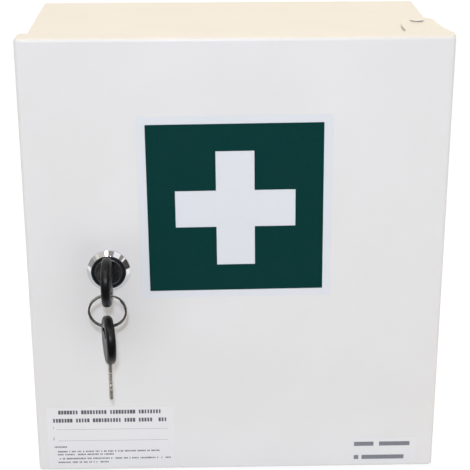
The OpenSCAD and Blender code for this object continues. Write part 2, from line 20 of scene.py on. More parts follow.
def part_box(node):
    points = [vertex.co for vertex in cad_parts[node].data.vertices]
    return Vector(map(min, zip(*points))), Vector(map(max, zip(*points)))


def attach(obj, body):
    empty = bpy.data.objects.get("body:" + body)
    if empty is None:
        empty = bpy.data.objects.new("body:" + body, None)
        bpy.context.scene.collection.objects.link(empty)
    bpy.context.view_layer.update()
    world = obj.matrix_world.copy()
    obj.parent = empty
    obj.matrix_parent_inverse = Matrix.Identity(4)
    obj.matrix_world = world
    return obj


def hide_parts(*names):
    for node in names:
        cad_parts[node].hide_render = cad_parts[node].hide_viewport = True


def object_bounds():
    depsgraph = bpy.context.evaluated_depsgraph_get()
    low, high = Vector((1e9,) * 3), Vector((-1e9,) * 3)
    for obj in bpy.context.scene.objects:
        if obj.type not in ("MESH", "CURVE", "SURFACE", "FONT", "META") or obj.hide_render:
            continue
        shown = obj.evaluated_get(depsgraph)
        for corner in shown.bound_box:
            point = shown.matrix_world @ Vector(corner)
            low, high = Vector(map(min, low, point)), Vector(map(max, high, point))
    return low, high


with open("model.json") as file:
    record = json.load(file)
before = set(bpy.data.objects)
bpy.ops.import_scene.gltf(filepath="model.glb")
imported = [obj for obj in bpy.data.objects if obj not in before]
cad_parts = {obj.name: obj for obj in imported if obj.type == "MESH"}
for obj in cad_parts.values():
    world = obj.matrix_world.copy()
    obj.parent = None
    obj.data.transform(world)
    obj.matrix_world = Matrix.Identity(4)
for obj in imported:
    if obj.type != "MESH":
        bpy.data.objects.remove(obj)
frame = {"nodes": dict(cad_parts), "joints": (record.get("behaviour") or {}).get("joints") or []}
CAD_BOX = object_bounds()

LOG = logging.getLogger("medicine_cabinet")
MM = 0.001
MERGE = 1e-7

Point2 = tuple[float, float]
Point3 = tuple[float, float, float]
Piece = bpy.types.Object
Tree = bpy.types.NodeTree
Node = bpy.types.Node
Socket = bpy.types.NodeSocket


# Colour and nodes


def linear(colour: str) -> tuple[float, float, float, float]:
    """Turns an sRGB hex colour into linear light.

    Args:
        colour: Six hex digits after a hash.

    Returns:
        Red, green, blue and an alpha of 1.
    """
    parts = [int(colour[i : i + 2], 16) / 255 for i in (1, 3, 5)]
    light = [c / 12.92 if c <= 0.04045 else ((c + 0.055) / 1.055) ** 2.4 for c in parts]
    return light[0], light[1], light[2], 1.0


def per_mm(size: float) -> float:
    """Texture scale that gives a pattern this many millimetres across on Object coordinates."""
    return 1 / (size * MM)


def add(tree: Tree, kind: str, inputs: dict[Any, Any] | None = None, **settings: Any) -> Node:
    """Adds a node with its settings, values and links.

    Args:
        tree: Node tree that gets the node.
        kind: Type name of the node.
        inputs: For each input, by name or number, a value, an output that is linked to it, or a
            node whose first output is.
        **settings: Properties of the node.

    Returns:
        The new node.
    """
    node = tree.nodes.new(kind)
    for name, value in settings.items():
        setattr(node, name, value)
    for key, value in (inputs or {}).items():
        source = value.outputs[0] if isinstance(value, Node) else value
        if isinstance(source, Socket):
            tree.links.new(source, node.inputs[key])
        else:
            node.inputs[key].default_value = source
    return node


def new_tree(owner: bpy.types.Material | bpy.types.World) -> Tree:
    """Gives a material or a world an empty node tree.

    Args:
        owner: The material or world.

    Returns:
        The tree.
    """
    owner.use_nodes = True
    owner.node_tree.nodes.clear()
    return owner.node_tree


# Finishes


@dataclass(frozen=True)
class Grain:
    """Noise that runs between two values.

    Its size is that of a patch in millimetres, detail is its octaves, and stretch is the factor
    of its scale along each axis, for grain that runs one way.
    """

    size: float
    detail: float = 2
    low: float = 0
    high: float = 1
    stretch: Point3 = (1, 1, 1)

    def output(self, tree: Tree, place: Socket, base: float = 0) -> Node:
        """Adds the noise.

        Args:
            tree: Node tree that gets the nodes.
            place: Coordinates of the pattern.
            base: Value that the noise is added to.

        Returns:
            The node that carries the value.
        """
        mapped = add(tree, "ShaderNodeMapping", {"Vector": place, "Scale": self.stretch})
        scale = per_mm(self.size)
        noise = add(tree, "ShaderNodeTexNoise", {"Vector": mapped, "Scale": scale, "Detail": self.detail})
        # The middle of the noise is spread over the whole range, or the pattern would hardly show.
        spread = {"From Min": 0.3, "From Max": 0.7, "To Min": base + self.low, "To Max": base + self.high}
        return add(tree, "ShaderNodeMapRange", {"Value": noise, **spread})


@dataclass(frozen=True)
class Finish:
    """A finish: what the surface is made of and how it was made.

    Clouds blend the colour with the shade, haze is added to the roughness, and the relief's
    grains are added up to a bump of this depth in millimetres.
    """

    name: str
    colour: str
    roughness: float = 0.4
    shade: str = "#FFFFFF"
    clouds: Grain | None = None
    haze: Grain | None = None
    relief: tuple[Grain, ...] = (Grain(1),)
    depth: float = 0.01

    def inputs(self) -> dict[str, float]:
        """Further inputs of the shader, by name."""
        return {}

    def material(self) -> bpy.types.Material:
        """Makes the material of this finish, the first time that it is asked for.

        Returns:
            The material.
        """
        found = bpy.data.materials.get(self.name)
        if found:
            return found
        made = bpy.data.materials.new(self.name)
        made.diffuse_color = linear(self.colour)
        tree = new_tree(made)
        plain = {"Base Color": linear(self.colour), "Roughness": self.roughness}
        shader = add(tree, "ShaderNodeBsdfPrincipled", {**plain, **self.inputs()})
        add(tree, "ShaderNodeOutputMaterial", {"Surface": shader})
        place = add(tree, "ShaderNodeTexCoord").outputs["Object"]
        if self.clouds:
            ends = {6: linear(self.colour), 7: linear(self.shade)}
            share = self.clouds.output(tree, place)
            blend = add(tree, "ShaderNodeMix", {"Factor": share, **ends}, data_type="RGBA")
            tree.links.new(blend.outputs[2], shader.inputs["Base Color"])
        if self.haze:
            gloss = self.haze.output(tree, place, self.roughness)
            tree.links.new(gloss.outputs[0], shader.inputs["Roughness"])
        height, *others = (grain.output(tree, place) for grain in self.relief)
        for other in others:
            height = add(tree, "ShaderNodeMath", {0: height, 1: other}, operation="ADD")
        bump = add(tree, "ShaderNodeBump", {"Height": height, "Distance": self.depth * MM, "Strength": 1})
        tree.links.new(bump.outputs[0], shader.inputs["Normal"])
        return made


@dataclass(frozen=True)
class PowderCoat(Finish):
    """Polyester powder on steel sheet, sprayed dry and baked.

    It gives the eye an even satin white with a fine orange peel of two sizes, slight clouds where
    the film is thicker, and no brush marks.
    """

    shade: str = "#E8E5DF"
    clouds: Grain | None = Grain(70)
    haze: Grain | None = Grain(9, 2, -0.04, 0.05)
    relief: tuple[Grain, ...] = (Grain(1.1, 1), Grain(0.3, 1, 0, 0.4))
    depth: float = 0.014

    def inputs(self) -> dict[str, float]:
        """Thin skin of clear resin over the pigment."""
        return {"IOR": 1.5, "Coat Weight": 0.12, "Coat Roughness": 0.25}


@dataclass(frozen=True)
class Metal(Finish):
    """Bare or plated metal."""

    def inputs(self) -> dict[str, float]:
        """All metal."""
        return {"Metallic": 1.0}


@dataclass(frozen=True)
class PolishedChrome(Metal):
    """Chrome plate on a polished turned ring.

    It gives the eye hard bright stripes beside dark ones, with a light haze from handling and
    scratches too shallow to see one by one.
    """

    haze: Grain | None = Grain(5, 4, 0, 0.05)
    relief: tuple[Grain, ...] = (Grain(0.6, 3, stretch=(1, 1, 8)),)
    depth: float = 0.0015


@dataclass(frozen=True)
class DieCast(Metal):
    """Zinc alloy cast in a steel die and nickel-plated.

    It gives the eye a grey metal with soft flow marks and a faint pebble under the plate.
    """

    haze: Grain | None = Grain(3, 3, -0.05, 0.1)
    relief: tuple[Grain, ...] = (Grain(0.5, 3),)
    depth: float = 0.012


@dataclass(frozen=True)
class MilledSteel(Metal):
    """Nickel-plated steel strip, blanked and then milled across.

    It gives the eye a warm silver with fine lines that run across the blade.
    """

    clouds: Grain | None = Grain(4, 3)
    haze: Grain | None = Grain(2, 2, -0.05, 0.08)
    relief: tuple[Grain, ...] = (Grain(0.22, 1, stretch=(0.08, 0.08, 1)),)


@dataclass(frozen=True)
class DrawnWire(Metal):
    """Spring-steel wire, drawn through a die, flattened, wound and nickel-plated.

    It gives the eye a bright metal with a grain from the die and duller patches.
    """

    clouds: Grain | None = Grain(3)
    haze: Grain | None = Grain(1.5, 2, -0.06, 0.08)
    relief: tuple[Grain, ...] = (Grain(0.25, 1),)
    depth: float = 0.006


@dataclass(frozen=True)
class ZincPlate(Metal):
    """Bright zinc plate on stamped steel.

    It gives the eye a bluish grey with a dull cloudy bloom.
    """

    shade: str = "#9DA3A6"
    clouds: Grain | None = Grain(4, 4)
    haze: Grain | None = Grain(2.5, 4, -0.08, 0.12)
    relief: tuple[Grain, ...] = (Grain(0.4),)
    depth: float = 0.006


@dataclass(frozen=True)
class StampedBrass(Metal):
    """Thin brass, stamped and tumbled.

    It gives the eye a yellow metal with browner patches and a tumbled sheen.
    """

    shade: str = "#A9853F"
    clouds: Grain | None = Grain(3, 3)
    relief: tuple[Grain, ...] = (Grain(0.3),)
    depth: float = 0.008


@dataclass(frozen=True)
class MouldedPlastic(Finish):
    """Black plastic moulded in a spark-eroded tool.

    It gives the eye a near-black with a fine matt grain, rubbed shiny where fingers hold it.
    """

    clouds: Grain | None = Grain(8, 3)
    haze: Grain | None = Grain(6, 3, -0.06, 0.08)
    relief: tuple[Grain, ...] = (Grain(0.35),)
    depth: float = 0.012
    gloss: float = 0.5

    def inputs(self) -> dict[str, float]:
        """Plastic whose grain takes away some of its gloss."""
        return {"IOR": 1.53, "Specular IOR Level": self.gloss}


@dataclass(frozen=True)
class PrintedVinyl(Finish):
    """Printed vinyl film with a clear laminate, stuck on by hand.

    It gives the eye a flat colour with a soft sheen, a very slight print mottle and a ripple of
    the adhesive.
    """

    shade: str = "#DDE0E8"
    clouds: Grain | None = Grain(2.2)
    haze: Grain | None = Grain(12, 2, -0.03, 0.05)
    relief: tuple[Grain, ...] = (Grain(6),)
    depth: float = 0.02
    gloss: float = 0.5
    laminate: float = 0.15

    def inputs(self) -> dict[str, float]:
        """Film under its laminate."""
        return {"Specular IOR Level": self.gloss, "Coat Weight": self.laminate, "Coat Roughness": 0.3}


@dataclass(frozen=True)
class LabelPaper(Finish):
    """Uncoated self-adhesive paper.

    It gives the eye a matt white with short fibres.
    """

    shade: str = "#EAE7E3"
    clouds: Grain | None = Grain(0.5, 3, stretch=(1, 1, 2.5))
    relief: tuple[Grain, ...] = (Grain(0.5, 3, stretch=(1, 1, 2.5)),)


@dataclass(frozen=True)
class SoftMoulding(Finish):
    """Plain moulded rubber or nylon.

    It gives the eye an even matt surface, a little dusty.
    """

    shade: str = "#4A4A49"
    clouds: Grain | None = Grain(2, 4)
    relief: tuple[Grain, ...] = (Grain(0.4),)


class Look(Enum):
    """The finishes of this cabinet."""

    PAINT = PowderCoat("powder_coated_steel_white", "#EBE8E3", 0.42)
    INNER_PAINT = PowderCoat("powder_coated_steel_white_inside", "#E9E6E1", 0.46)
    CHROME = PolishedChrome("polished_chrome_on_turned_ring", "#E4E5E7", 0.05)
    CASTING = DieCast("nickel_plated_zinc_die_casting", "#A7A9AB", 0.3)
    PLUG = DieCast("nickel_plated_zinc_lock_plug", "#96999B", 0.2, relief=(Grain(0.8, 3),))
    # The rim's lighter nickel is partly rubbed metal and partly a painted highlight line round the plug.
    RIM = DieCast("rubbed_nickel_rim_of_the_plug", "#C6C4C1", 0.34, relief=(Grain(0.6, 3),))
    BOW = MouldedPlastic("moulded_black_abs", "#0D0D0D", 0.34, "#161514", gloss=0.24)
    # The face ring's black is partly its own and partly painted shade in the gap between the bezel and the
    # plug.
    FACE_RING = MouldedPlastic("moulded_black_nylon_ring", "#101113", 0.42, "#1B1C1E")
    BLADE = MilledSteel("milled_nickel_plated_steel", "#E6E1D4", 0.52, "#C4BEB0")
    WIRE = DrawnWire("drawn_spring_steel_wire", "#DAD6CF", 0.3, "#A9A59D")
    ZINC = ZincPlate("zinc_plated_steel", "#BFC4C7", 0.34)
    NUT = ZincPlate("zinc_die_cast_nut", "#B7AE97", 0.36, "#958C76")
    BRASS = StampedBrass("stamped_brass", "#C9A55C", 0.34)
    SIGN_WHITE = PrintedVinyl("white_vinyl_film", "#E4E5E5", 0.36, "#E3E4E4")
    SIGN_GREEN = PrintedVinyl("green_printed_vinyl_film", "#023B37", 0.4, "#013834", gloss=0.1, laminate=0.0)
    PAPER = LabelPaper("self_adhesive_label_paper", "#EDEAE6", 0.6)
    CLEAR = PrintedVinyl("clear_label_film_on_white", "#EAE8E4", 0.34, "#E9E7E3")
    INK = PrintedVinyl("dark_printing_ink", "#5E5E63", 0.5, "#505055")
    PALE_INK = PrintedVinyl("grey_printing_ink", "#828287", 0.5, "#78787E")
    RUBBER = SoftMoulding("moulded_black_rubber", "#2B2B2B", 0.75)
    NYLON = SoftMoulding("moulded_white_nylon", "#DDDBD2", 0.45, "#CFCCC1")


# Meshes


def arc(centre: Point2, radius: float, start: float, end: float, steps: int = 8) -> list[Point2]:
    """Points of an arc.

    Args:
        centre: Centre of the arc.
        radius: Radius of the arc.
        start: First angle in degrees.
        end: Last angle in degrees.
        steps: Number of chords.

    Returns:
        The points from the first angle to the last.
    """
    angles = [math.radians(start + (end - start) * i / steps) for i in range(steps + 1)]
    return [(centre[0] + radius * math.cos(a), centre[1] + radius * math.sin(a)) for a in angles]


def round_rect(x0: float, y0: float, x1: float, y1: float, r: float, steps: int = 6) -> list[Point2]:
    """Outline of a rectangle with round corners of radius r."""
    return [
        *arc((x1 - r, y0 + r), r, -90, 0, steps),
        *arc((x1 - r, y1 - r), r, 0, 90, steps),
        *arc((x0 + r, y1 - r), r, 90, 180, steps),
        *arc((x0 + r, y0 + r), r, 180, 270, steps),
    ]


def solid(
    name: str, points: Iterable[Sequence[float]], faces: Iterable[Sequence[int]], place: Matrix
) -> Piece:
    """Makes a closed piece with its normals outwards.

    Args:
        name: Name of the piece.
        points: Corners in millimetres, in the piece's own axes.
        faces: Corner numbers of each face.
        place: Turns the piece's axes into the row frame, in millimetres.

    Returns:
        The object, at the origin, with its place in its mesh.
    """
    bm = bmesh.new()
    corners = [bm.verts.new((place @ Vector(p)) * MM) for p in points]
    for face in faces:
        bm.faces.new([corners[i] for i in face])
    bmesh.ops.remove_doubles(bm, verts=bm.verts, dist=MERGE)
    bmesh.ops.recalc_face_normals(bm, faces=bm.faces)
    return from_bmesh(name, bm)


def from_bmesh(name: str, bm: bmesh.types.BMesh) -> Piece:
    """Makes an object of a bmesh and frees the bmesh.

    Args:
        name: Name of the piece.
        bm: Its mesh, in metres.

    Returns:
        The object.
    """
    mesh = bpy.data.meshes.new(name)
    bm.to_mesh(mesh)
    bm.free()
    made = bpy.data.objects.new(name, mesh)
    bpy.context.scene.collection.objects.link(made)
    return made


def lathe(name: str, profile: Sequence[Point2], place: Matrix, steps: int = 96) -> Piece:
    """Turns a closed profile round the Z axis of a place.

    Args:
        name: Name of the piece.
        profile: Radius and height of each point, in order round the section.
        place: Turns the lathe's axes into the row frame.
        steps: Number of sides.

    Returns:
        The turned piece.
    """
    points: list[Point3] = []
    rings: list[list[int]] = []
    for radius, height in profile:
        if radius < 1e-9:
            rings.append([len(points)] * steps)
            points.append((0.0, 0.0, height))
            continue
        rings.append(list(range(len(points), len(points) + steps)))
        turns = (2 * math.pi * k / steps for k in range(steps))
        points += [(radius * math.cos(a), radius * math.sin(a), height) for a in turns]
    faces = []
    for i, ring in enumerate(rings):
        after = rings[(i + 1) % len(rings)]
        if ring[0] == ring[1] and after[0] == after[1]:
            continue
        for k in range(steps):
            j = (k + 1) % steps
            faces.append(list(dict.fromkeys((ring[k], ring[j], after[j], after[k]))))
    return solid(name, points, faces, place)


def prism(name: str, outline: Sequence[Point2], low: float, high: float, place: Matrix) -> Piece:
    """Raises an outline into a plate.

    Args:
        name: Name of the piece.
        outline: Corners of the outline in the first two axes of the place.
        low: Height of the lower face.
        high: Height of the upper face.
        place: Turns the plate's axes into the row frame.

    Returns:
        The plate.
    """
    n = len(outline)
    points = [(x, y, h) for h in (low, high) for x, y in outline]
    faces = [list(range(n))[::-1], list(range(n, 2 * n))]
    faces += [[i, (i + 1) % n, n + (i + 1) % n, n + i] for i in range(n)]
    return solid(name, points, faces, place)


def block(name: str, width: float, height: float, low: float, high: float, place: Matrix) -> Piece:
    """Makes a square-cornered bar round the Z axis of a place, from one height to another."""
    x, y = width / 2, height / 2
    return prism(name, [(-x, -y), (x, -y), (x, y), (-x, y)], low, high, place)


def rod(name: str, radius: float, low: float, high: float, place: Matrix, steps: int = 48) -> Piece:
    """Makes a round bar round the Z axis of a place, from one height to another."""
    return lathe(name, [(0, low), (radius, low), (radius, high), (0, high)], place, steps)


def flat_sided(radius: float, width: float, steps: int) -> list[Point2]:
    """Outline of a round that is cut flat on two sides.

    Args:
        radius: Radius of the round.
        width: Distance between the flats.
        steps: Number of chords of each round side.

    Returns:
        The corners of the outline.
    """
    rise = math.degrees(math.acos(width / 2 / radius))
    halves = ((rise, 180 - rise), (180 + rise, 360 - rise))
    return [point for start, end in halves for point in arc((0, 0), radius, start, end, steps)]


def settle(piece: Piece) -> Piece:
    """Turns a piece and its modifiers into a plain mesh.

    Args:
        piece: Object with live modifiers.

    Returns:
        The same object, without modifiers.
    """
    graph = bpy.context.evaluated_depsgraph_get()
    mesh = bpy.data.meshes.new_from_object(
        piece.evaluated_get(graph), preserve_all_data_layers=True, depsgraph=graph
    )
    old = piece.data
    piece.modifiers.clear()
    piece.data = mesh
    mesh.name = piece.name
    bpy.data.meshes.remove(old)
    return piece


def combine(piece: Piece, others: Sequence[Piece], how: str = "DIFFERENCE", solver: str = "EXACT") -> None:
    """Cuts or joins other shapes with a piece and takes them away.

    Args:
        piece: Piece that stays.
        others: Shapes that are used up.
        how: DIFFERENCE, UNION or INTERSECT.
        solver: EXACT, or FAST where the exact one leaves open edges.
    """
    for other in others:
        step = piece.modifiers.new("combine", "BOOLEAN")
        step.object = other
        step.operation = how
        step.solver = solver
    settle(piece)
    for other in others:
        bpy.data.objects.remove(other)


def ease(piece: Piece, width: float, steps: int = 2, angle: float = 35) -> Piece:
    """Breaks the edges of a piece and gives it smooth shading that keeps flat faces flat.

    Args:
        piece: The piece.
        width: Width of a broken edge in millimetres, or 0 for none.
        steps: Faces across a broken edge.
        angle: Least angle in degrees of an edge that is broken.

    Returns:
        The piece, as a plain mesh.
    """
    if width > 0:
        bevel = piece.modifiers.new("bevel", "BEVEL")
        bevel.width = width * MM
        bevel.segments = steps
        bevel.limit_method = "ANGLE"
        bevel.angle_limit = math.radians(angle)
        bevel.use_clamp_overlap = True
        settle(piece)
    piece.data.shade_smooth()
    piece.data.set_sharp_from_angle(angle=math.radians(50))
    normals = piece.modifiers.new("normals", "WEIGHTED_NORMAL")
    normals.keep_sharp = True
    normals.weight = 100
    return settle(piece)


def copied(node: str, name: str) -> Piece:
    """Makes a merged copy of a CAD node's mesh, with the flat faces made whole.

    Args:
        node: Name of the CAD node.
        name: Name of the copy.

    Returns:
        The copy.
    """
    bm = bmesh.new()
    bm.from_mesh(frame["nodes"][node].data)
    bmesh.ops.remove_doubles(bm, verts=bm.verts, dist=1e-6)
    bmesh.ops.dissolve_limit(bm, angle_limit=math.radians(0.5), verts=bm.verts, edges=bm.edges)
    return from_bmesh(name, bm)


def joined(name: str, parts: Iterable[Piece]) -> Piece:
    """Makes one piece of several.

    Args:
        name: Name of the piece.
        parts: Pieces that are used up.

    Returns:
        The piece.
    """
    bm = bmesh.new()
    for part in parts:
        bm.from_mesh(part.data)
        bpy.data.objects.remove(part)
    return from_bmesh(name, bm)


def dress(piece: Piece, body: str, slot: str, look: Look, *nodes: str) -> None:
    """Gives a piece its finish and its body, and hides the CAD nodes that it stands for.

    Args:
        piece: Finished piece.
        body: CAD body that it moves with.
        slot: Material slot in the record; not used.
        look: Finish of the piece.
        *nodes: CAD nodes that are no longer shown.
    """
    piece.data.materials.clear()
    piece.data.materials.append(look.value.material())
    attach(piece, body)
    if nodes:
        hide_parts(*nodes)
    LOG.info("%s: %d faces on %s, %s", piece.name, len(piece.data.polygons), body, look.value.name)


def box_mm(node: str) -> tuple[Vector, Vector]:
    """Lowest and highest corner of a CAD node in millimetres."""
    low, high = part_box(node)
    return low / MM, high / MM


def joint_mm(name: str) -> Vector:
    """Place of a joint in millimetres."""
    found = next(j for j in frame["joints"] if j["name"] == name)
    return Vector(found["pos_m"]) / MM


def axes(x: Point3, y: Point3, z: Point3, origin: Sequence[float]) -> Matrix:
    """Makes a place from the row frame's directions of its own axes.

    Args:
        x: Direction of its X axis.
        y: Direction of its Y axis.
        z: Direction of its Z axis.
        origin: Its origin.

    Returns:
        Matrix that turns the place's axes into the row frame.
    """
    made = Matrix((x, y, z)).transposed().to_4x4()
    made.translation = Vector(origin)
    return made


def facing_out(x: float, y: float, z: float) -> Matrix:
    """Place whose Z axis runs out of the front."""
    return axes((1, 0, 0), (0, 0, 1), (0, -1, 0), (x, y, z))


def standing(x: float, y: float, up: int = 1) -> Matrix:
    """Place whose Z axis runs up, or down where up is -1."""
    return axes((1, 0, 0), (0, up, 0), (0, 0, up), (x, y, 0))


def put_at(piece: Piece, place: Matrix) -> None:
    """Moves a piece's mesh to a place.

    Args:
        piece: Piece whose mesh is in metres, in its own axes.
        place: Turns those axes into the row frame, in millimetres.
    """
    moved = place.copy()
    moved.translation *= MM
    piece.data.transform(moved)


# Geometry Nodes


class Repeat:
    """A Geometry Nodes tree with named inputs, which ends in Realize Instances and Set Material."""

    KINDS = {int: "Int", float: "Float", Vector: "Vector", Piece: "Object", bpy.types.Material: "Material"}

    def __init__(self, name: str, values: dict[str, Any]) -> None:
        """Starts the tree.

        Args:
            name: Name of the tree.
            values: Value of each input, whose type gives the input's own.
        """
        self.tree = bpy.data.node_groups.new(name, "GeometryNodeTree")
        self.values: dict[str, Any] = {}
        side = self.tree.interface
        side.new_socket("Geometry", in_out="OUTPUT", socket_type="NodeSocketGeometry")
        for key, value in values.items():
            kind = "NodeSocket" + self.KINDS[type(value)]
            made = side.new_socket(key, in_out="INPUT", socket_type=kind)
            self.values[made.identifier] = value
        self.inputs = add(self.tree, "NodeGroupInput").outputs

    def make(self, name: str, geometry: Node) -> Piece:
        """Ends the tree, runs it and takes it away.

        Args:
            name: Name of the piece.
            geometry: Node that gives the instances or the mesh.

        Returns:
            The piece, as a plain mesh.
        """
        real = add(self.tree, "GeometryNodeRealizeInstances", {0: geometry})
        dressed = add(self.tree, "GeometryNodeSetMaterial", {0: real, "Material": self.inputs["Material"]})
        add(self.tree, "NodeGroupOutput", {0: dressed})
        made = bpy.data.objects.new(name, bpy.data.meshes.new(name))
        bpy.context.scene.collection.objects.link(made)
        step = made.modifiers.new("repeat", "NODES")
        step.node_group = self.tree
        for identifier, value in self.values.items():
            step[identifier] = value
        settle(made)
        bpy.data.node_groups.remove(self.tree)
        return made


# Sub-assemblies


def folded_tray(name: str, low: Vector, high: Vector, fold: float, corner: float, sheet: float) -> Piece:
    """Makes a tray of folded sheet that is open at the back.

    Args:
        name: Name of the piece.
        low: Lowest corner in millimetres.
        high: Highest corner in millimetres.
        fold: Outer radius of the folds round the front face.
        corner: Outer radius of the corners along the depth.
        sheet: Thickness of the sheet.

    Returns:
        The tray, one wall of even thickness.
    """
    bm = bmesh.new()
    bmesh.ops.create_cube(bm, size=1)
    for v in bm.verts:
        v.co = Vector([(low[i] + (v.co[i] + 0.5) * (high[i] - low[i])) * MM for i in range(3)])

    def at(part: bmesh.types.BMEdge | bmesh.types.BMFace, y: float) -> bool:
        """True if every corner of the edge or face is at this depth."""
        return all(abs(v.co.y - y * MM) < MERGE for v in part.verts)

    def fold_over(edges: list[bmesh.types.BMEdge], radius: float) -> None:
        """Rounds these edges to a radius in millimetres."""
        size = {"offset": radius * MM, "offset_type": "OFFSET", "segments": 8, "profile": 0.5}
        bmesh.ops.bevel(bm, geom=edges, affect="EDGES", **size)

    depth_edges = [e for e in bm.edges if not at(e, low.y) and not at(e, high.y)]
    if corner > fold:
        fold_over(depth_edges, corner)
        fold_over([e for e in bm.edges if at(e, low.y)], fold)
    else:
        fold_over(depth_edges + [e for e in bm.edges if at(e, low.y)], fold)
    bmesh.ops.delete(bm, geom=[f for f in bm.faces if at(f, high.y)], context="FACES")
    tray = from_bmesh(name, bm)
    wall = tray.modifiers.new("wall", "SOLIDIFY")
    wall.thickness = sheet * MM
    wall.offset = -1
    wall.use_even_offset = True
    return settle(tray)


@dataclass
class Body:
    """The body on the wall: wrap, back panel, shelf with brackets, and the fixed parts of the hinges."""

    name: str = "cabinet"
    sheet: float = 1.0
    fold: float = 1.2
    corner: float = 1.3
    lip: float = 12.0
    edge: float = 0.2
    cut_edge: float = 0.15
    pin_edge: float = 0.1
    pin_head: float = 9.4
    pin_dome: float = 1.7
    pin_gap: float = 0.75
    pin_neck: float = 1.4
    pin_undercut: float = 1.2
    tail_width: float = 1.1
    tail_height: float = 1.5
    tail_chamfer: float = 0.5
    shank_share: float = 0.385
    shank_play: float = 0.05
    buffer_dome: float = 0.8
    plates: tuple[str, ...] = ("hinge_plate_upper", "hinge_plate_lower")
    inner: tuple[str, ...] = ("back_panel", "shelf", "shelf_bracket_left", "shelf_bracket_right")

    def build(self) -> None:
        """Builds and dresses every piece of the body."""
        self.wrap()
        for node in self.inner:
            piece = ease(copied(node, node + "_painted"), self.edge)
            dress(piece, self.name, "painted_shell", Look.INNER_PAINT, node)
        for node in self.plates:
            dress(ease(copied(node, node + "_zinc"), self.edge), self.name, "plated_steel", Look.ZINC, node)
        for side in ("upper", "lower"):
            self.pin(side)
            washer = "hinge_washer_" + side
            piece = ease(copied(washer, washer + "_nylon"), self.cut_edge)
            dress(piece, self.name, "washer_plastic", Look.NYLON, washer)
        self.buffers()

    def wrap(self) -> None:
        """Top, bottom and sides in one folded sheet, with the lip round the opening."""
        low, high = box_mm("cabinet_shell")
        wrap = folded_tray("cabinet_wrap", low, high, self.fold, self.corner, self.sheet)
        lip, reach = self.lip, 3 * self.sheet
        hole = round_rect(low.x + lip, low.z + lip, high.x - lip, high.z - lip, self.corner)
        opening = prism("opening", hole, -reach, reach, facing_out(0, low.y, 0))
        combine(wrap, [opening, self.pin_holes(box_mm("hinge_pin_upper")[1].z + self.sheet)])
        dress(ease(wrap, self.cut_edge, 2, 60), self.name, "painted_shell", Look.PAINT, "cabinet_shell")

    def shank(self) -> float:
        """Radius of the hole for a hinge pin's shank, from the washer round it."""
        low, high = box_mm("hinge_washer_upper")
        return (high.x - low.x) / 2 * self.shank_share

    def pin_holes(self, reach: float) -> Piece:
        """Shape of the holes for both hinge pins, in line from this far down to this far up."""
        pin = joint_mm("door_swing")
        return rod("pin_holes", self.shank(), -reach, reach, standing(pin.x, pin.y))

    def pin(self, side: str) -> None:
        """Riveted pin with a low domed head, undercut at its rim, and a formed tail.

        Args:
            side: upper or lower.
        """
        node = "hinge_pin_" + side
        up = 1 if side == "upper" else -1
        foot, top = sorted(up * corner.z for corner in box_mm(node))
        seat = top - self.pin_dome
        rim = seat + self.pin_gap
        head = self.pin_head / 2
        shank = self.shank() - self.shank_play
        tail = shank + self.tail_width
        profile = [
            (0, foot),
            (tail - self.tail_chamfer, foot),
            (tail, foot + self.tail_chamfer),
            (tail, foot + self.tail_height),
            (shank, foot + self.tail_height),
            (shank, seat),
            (head - self.pin_neck, seat),
            (head - self.pin_undercut, rim),
            *self.dome(head, rim, top),
        ]
        pin = joint_mm("door_swing")
        piece = lathe(node + "_riveted", profile, standing(pin.x, pin.y, up), 64)
        dress(ease(piece, self.pin_edge), self.name, "plated_steel", Look.PAINT, node)

    @staticmethod
    def dome(radius: float, rim: float, top: float, steps: int = 8) -> list[Point2]:
        """Profile of a dome, from its rim to its top."""
        turns = [math.pi / 2 * i / steps for i in range(steps)]
        return [*((radius * math.cos(a), rim + (top - rim) * math.sin(a)) for a in turns), (0, top)]

    def buffers(self) -> None:
        """Two rubber pads with a low dome, stuck on the lip."""
        low, high = box_mm("door_buffers")
        radius = (high.x - low.x) / 2
        height = high.y - low.y
        profile = [(0, 0), (radius, 0), *self.dome(radius, height - self.buffer_dome, height)]
        pads = [
            lathe("door_buffer_pad", profile, facing_out(low.x + radius, high.y, z), 48)
            for z in (low.z + radius, high.z - radius)
        ]
        piece = ease(joined("door_buffers_rubber", pads), self.edge)
        dress(piece, self.name, "rubber", Look.RUBBER, "door_buffers")


@dataclass
class PrintRow:
    """One row of printing: a ruled line, or a row of plain blocks where the real label has words."""

    x: float
    z: float
    length: float
    height: float
    pitch: float = 0.0
    gaps: float = 0.0
    seed: int = 0


